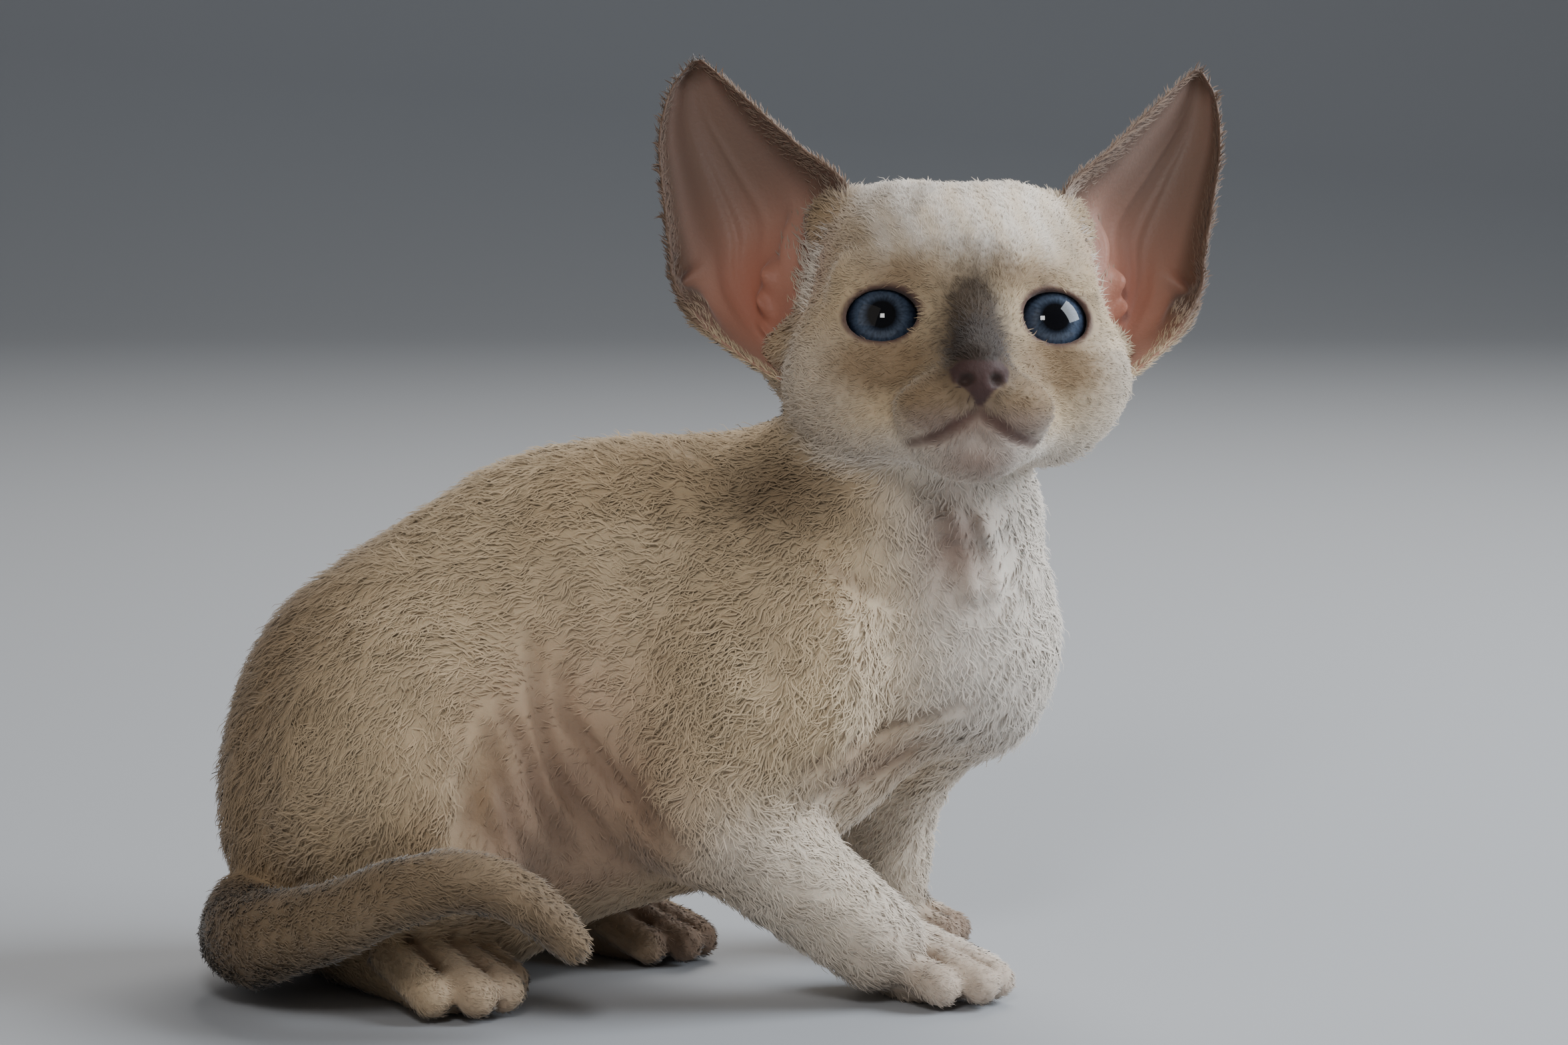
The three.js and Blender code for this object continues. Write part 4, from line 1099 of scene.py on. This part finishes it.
def scatter(points, quads, density, count):
    """Roots spread over quads by density: their triangle, its quad, corners in that quad, weights."""
    tri = np.concatenate([quads[:, [0, 1, 2]], quads[:, [0, 2, 3]]])
    face = np.tile(np.arange(len(quads)), 2)
    corner = np.repeat([(0, 1, 2), (0, 2, 3)], len(quads), axis=0)
    a, b, c = (points[tri[:, i]] for i in range(3))
    weight = np.linalg.norm(np.cross(b - a, c - a), axis=1) * density[tri].mean(axis=1)
    chosen = rng.choice(len(tri), size=count, p=weight / weight.sum())
    r1, r2 = np.sqrt(rng.random(count)), rng.random(count)
    w = np.stack([1 - r1, r1 * (1 - r2), r1 * r2], axis=1)
    return tri[chosen], face[chosen], corner[chosen], w


def clumped(root):
    """For each tuft, the number of the tuft that its clump gathers round."""
    seeds = rng.choice(len(root), size=max(len(root) // CLUMP, 1), replace=False)
    tree = kdtree.KDTree(len(seeds))
    for i, seed in enumerate(seeds):
        tree.insert(root[seed], i)
    tree.balance()
    return seeds[np.array([tree.find(p)[1] for p in root])]


def tuft_faces(rings):
    """Faces of one tuft, a point at its end; -1 stands for no fourth corner."""
    faces = [(2, 1, 0, -1)]
    for k in range(rings - 1):
        for j in range(3):
            a, b = k * 3 + j, k * 3 + (j + 1) % 3
            faces.append((a, b, b + 3, a + 3))
    last = (rings - 1) * 3
    return np.array(faces + [(last + j, last + (j + 1) % 3, rings * 3, -1) for j in range(3)])


def tuft_mesh(name, hair, rings):
    """Closed three-sided tufts: each rises to its lift, lies along the coat and ends in a point."""
    root, normal, lie, length, width = (hair[k] for k in ("root", "normal", "lie", "length", "width"))
    side = np.cross(normal, lie)
    count, per = len(root), rings * 3 + 1
    verts, bend, shade = np.empty((count, per, 3)), np.empty((count, per, 3)), np.empty((count, per))
    for k, s in enumerate(np.linspace(0, 1, rings + 1)):
        swing = hair["phase"] + s * length * WAVE_NUMBER
        rise = hair["lift"] * (1 - (1 - s) ** 2.2) - ROOT_SINK * (1 - s)
        rise = rise + 0.55 * hair["curl"] * np.cos(swing) * s
        sway = hair["curl"] * np.sin(swing) * min(s * 1.6, 1)
        centre = root + lie * (length * s)[:, None] + normal * rise[:, None] + side * sway[:, None]
        centre = centre + hair["gather"] * (CLUMP_PULL * s * s)
        if k == rings:
            verts[:, -1], bend[:, -1], shade[:, -1] = centre, normal, TIP_SHADE
            break
        w = width * (1 - NARROWING * s**1.5)
        for j, (x, y) in enumerate(SECTION):
            verts[:, k * 3 + j] = centre + side * (w * x)[:, None] + normal * (w * y)[:, None]
            bend[:, k * 3 + j] = normal + side * (0.9 * x)
            # painted shade: rings near the root are darker, as if shaded deeper in the coat
            shade[:, k * 3 + j] = ROOT_SHADE + SHADE_GAIN * s
    one = tuft_faces(rings)
    faces = np.where(one >= 0, one + (np.arange(count) * per)[:, None, None], -1).reshape(-1, 4)
    # the tufts' colours carry painted shade at the root and painted light at the tip
    colours = np.clip(hair["colour"][:, None, :] * shade[:, :, None], 0, 1).reshape(-1, 3)
    piece = make_mesh(name, verts.reshape(-1, 3), faces, colours)
    piece.data.normals_split_custom_set_from_vertices(unit(bend.reshape(-1, 3)).tolist())
    turn = np.arange(per) * PATCH_TURN
    patch = np.stack([np.cos(turn), np.sin(turn)], axis=1) * PATCH
    uv = (hair["uv"][:, None, :] + patch).reshape(-1, 2)
    layer = piece.data.uv_layers.new(name="OFBake")
    layer.uv.foreach_set("vector", uv[faces[faces >= 0]].astype("f4").ravel())
    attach(piece, "root")
    return piece


def hair_from(piece, points, quads, density, count, values):
    """Roots on a surface with everything that is known at them, as one table of arrays."""
    uv, normals = unwrap(piece), vertex_normals(piece)
    tri, face, corner, w = scatter(points, quads, density, count)

    def here(known):
        shape = w.shape + (1,) * (known.ndim - 1)
        return (known[tri] * w.reshape(shape)).sum(axis=1)

    hair = {name: here(known) for name, known in values.items()}
    hair["root"] = here(points)
    hair["normal"] = unit(here(normals))
    loops = np.take_along_axis(uv[face], corner[:, :, None], axis=1)
    hair["uv"] = (loops * w[:, :, None]).sum(axis=1)
    return hair


def comb(hair, wander, jitter):
    """Lays the hair down on the surface, in clumps that share their lie and wave."""
    root, normal, lie = hair["root"], hair["normal"], hair["lie"]
    lie = unit(lie - normal * (lie * normal).sum(axis=1)[:, None])
    nearest = clumped(root)
    turn = wander * waves(root, 15, 11)[nearest] + rng.normal(0, jitter, len(root))
    turn += rng.normal(0, CLUMP_TURN, len(root))[nearest]
    side = np.cross(normal, lie)
    hair["lie"] = lie * np.cos(turn)[:, None] + side * np.sin(turn)[:, None]
    gather = root[nearest] - root
    gather = gather - normal * (gather * normal).sum(axis=1)[:, None]
    reach = np.linalg.norm(gather, axis=1, keepdims=True)
    hair["gather"] = gather * np.minimum(1, CLUMP_REACH / np.maximum(reach, 1e-6))
    hair["phase"] = WAVE_NUMBER * (root * lie).sum(axis=1) + 1.6 * waves(root, 14, 21)
    hair["phase"] += rng.normal(0, 0.4, len(root))
    tone = rng.normal(1, TONE_SPREAD, len(root)) * rng.normal(1, TONE_SPREAD, len(root))[nearest]
    hair["colour"] = hair["colour"] * tone[:, None]


def surface_parts(points):
    """How much each point belongs to face, head, legs, paws and tail."""
    on_head, dh, db, dt = head_share(points)
    on_tail = smooth(0, 4, np.minimum(db, dh) - dt)
    dp = np.min([by_blocks(form, points) for form, _ in paw_forms], axis=0)
    on_paw = smooth(0, 5, by_blocks(trunk, points) - dp) * (1 - on_head)
    low = smooth(50, 30, points[:, 2]) * smooth(-20, -8, points[:, 0])
    low = np.maximum(low, smooth(30, 20, points[:, 2])) * (1 - on_head) * (1 - on_tail)
    on_face = on_head * smooth(0, 20, to_head(points)[:, 0])
    return [("head", on_head), ("face", on_face), ("leg", low), ("paw", on_paw), ("tail", on_tail)]


def bare_skin(points):
    """True where no hair grows: nose leather, lips, lids and soles."""
    q = to_head(points)
    m = mirrored(q)
    bare = (nose_leather(m) > 0.4) | (points[:, 2] < 0.6)
    bare |= (off_path(m, MOUTH) < 1.25) | (off_path(m, PHILTRUM) < 0.8)
    for e, r in eye_views(q):
        bare |= (r < 1.2) & (np.abs(e).max(axis=1) < 14)
    return bare


def growth(points):
    """What grows at points, in the columns of GROWTH: thin over loose skin, curls at the shoulder."""
    grown = np.repeat(np.array(GROWTH["body"])[None], len(points), axis=0)
    for name, amount in surface_parts(points):
        grown += (np.array(GROWTH[name]) - grown) * amount[:, None]
    thin = sum(spot(points, at, size) for at, size in THIN_PATCHES)
    along = beside(points, CREASES, 4.0, 1.5, np.full(len(points), True))
    thin = np.minimum(1.3 * thin + 0.8 * along * smooth(84, 76, points[:, 2]), 1)
    curly = np.minimum(1.4 * spot(points, *CURLY_PATCH), 1)
    grown[:, :4] += np.outer(curly * (1 - thin), CURLY_MORE)
    grown[:, :3] *= 1 - np.outer(thin, THIN_LESS)
    grown[:, 4] *= ~bare_skin(points) * (1 - 0.6 * thin)
    return grown


def grow_coat(skin, points, quads):
    """The coat in pieces of long and of short tufts; gives its material."""
    grown = growth(points)
    values = {"grown": grown, "lie": lie_of_coat(points), "colour": coat_colour(points)}
    hair = hair_from(skin, points, quads, grown[:, 4], TUFT_COUNT, values)
    comb(hair, 0.4, 0.3)
    length, width, lift, curl, _ = hair["grown"].T
    hair["length"] = length * rng.uniform(0.7, 1.2, TUFT_COUNT)
    stray = 1 + 0.8 * (rng.random(TUFT_COUNT) < 0.05)
    hair["width"] = width * rng.uniform(0.75, 1.25, TUFT_COUNT)
    rough = 1 + 0.3 * waves(hair["root"], 7, 31)
    hair["lift"] = lift * rng.uniform(0.5, 1.15, TUFT_COUNT) * stray * rough
    hair["curl"] = curl
    material = coat_material("coat", 0.75, 0.3)
    order = np.argsort(hair["root"] @ np.array((1.0, 0.2, 0.4)), kind="stable")
    for kind, rings, most in KINDS:
        chosen = order[(length[order] > LONG_TUFT) == (kind == "long")]
        for number, start in enumerate(range(0, len(chosen), most)):
            pick = chosen[start:start + most]
            part = {key: known[pick] for key, known in hair.items()}
            piece = tuft_mesh(f"coat_{kind}_{number + 1:02d}", part, rings)
            piece.data.materials.append(material)
    return material


def over_ear(u, v, behind):
    """Hair colour on an ear: dark rims and back, cream towards the foot, white at the inner edge."""
    c = np.repeat(TAUPE[None], len(u), axis=0)
    c = painted(c, EAR_RIM, 0.7 * smooth(0.85, 1.0, v))
    c = painted(c, EAR_RIM, 0.6 * smooth(0.8, 1.0, u) * smooth(0.15, 0.4, v))
    c = painted(c, CREAM, 0.85 * smooth(0.35, 0.1, v))
    return painted(c, WHITE, 0.6 * smooth(0.3, 0.0, u) * smooth(0.5, 0.25, v) * (1 - behind))


def grow_ear_hair(name, shell, points, quads, grid, side, material):
    """Short dark hair on the back and round the rim, paler hair at the foot of the inner edge."""
    u, v = grid["u"], grid["v"]
    behind = np.arange(len(points)) >= grid["count"]
    edge = np.max([smooth(0.12, 0.02, u), smooth(0.90, 0.98, u), smooth(0.9, 0.98, v)], axis=0)
    foot = smooth(0.3, 0.0, u) * smooth(0.5, 0.2, v) * (1 - behind)
    density = 1.4 * behind + 3.0 * edge + 2.0 * foot
    up = from_head(np.array((-0.25, 0.35 * side, 1.0))) - from_head(np.zeros(3))
    out = from_head(np.array((0.1, 1.0 * side, 0.55))) - from_head(np.zeros(3))
    lie = up + (out - up) * np.maximum(foot, smooth(0.8, 1.0, u) * 0.6)[:, None]
    values = {"lie": lie, "colour": over_ear(u, v, behind), "foot": foot, "edge": edge}
    hair = hair_from(shell, points, quads, density, EAR_TUFTS, values)
    comb(hair, 0.15, 0.2)
    foot = hair["foot"]
    hair["length"] = (1.8 + 3.2 * foot) * rng.uniform(0.6, 1.2, EAR_TUFTS)
    hair["width"] = (0.25 + 0.05 * foot) * rng.uniform(0.75, 1.25, EAR_TUFTS)
    hair["lift"] = (0.45 + 0.9 * foot + 0.3 * hair["edge"]) * rng.uniform(0.5, 1.2, EAR_TUFTS)
    hair["curl"] = 0.1 + 0.3 * foot
    piece = tuft_mesh("coat_" + name, hair, SHORT_RINGS)
    piece.data.materials.append(material)


def make_cat():
    skin, points, quads = make_skin()
    material = grow_coat(skin, points, quads)
    for name, side in (("ear_right", -1), ("ear_left", 1)):
        shell, ear_points, ear_quads, grid = make_ear(name, side)
        grow_ear_hair(name, shell, ear_points, ear_quads, grid, side, material)
    make_eye("eye_right", -1)
    make_eye("eye_left", 1)


make_cat()
make_camera()
make_lights()
make_floor()
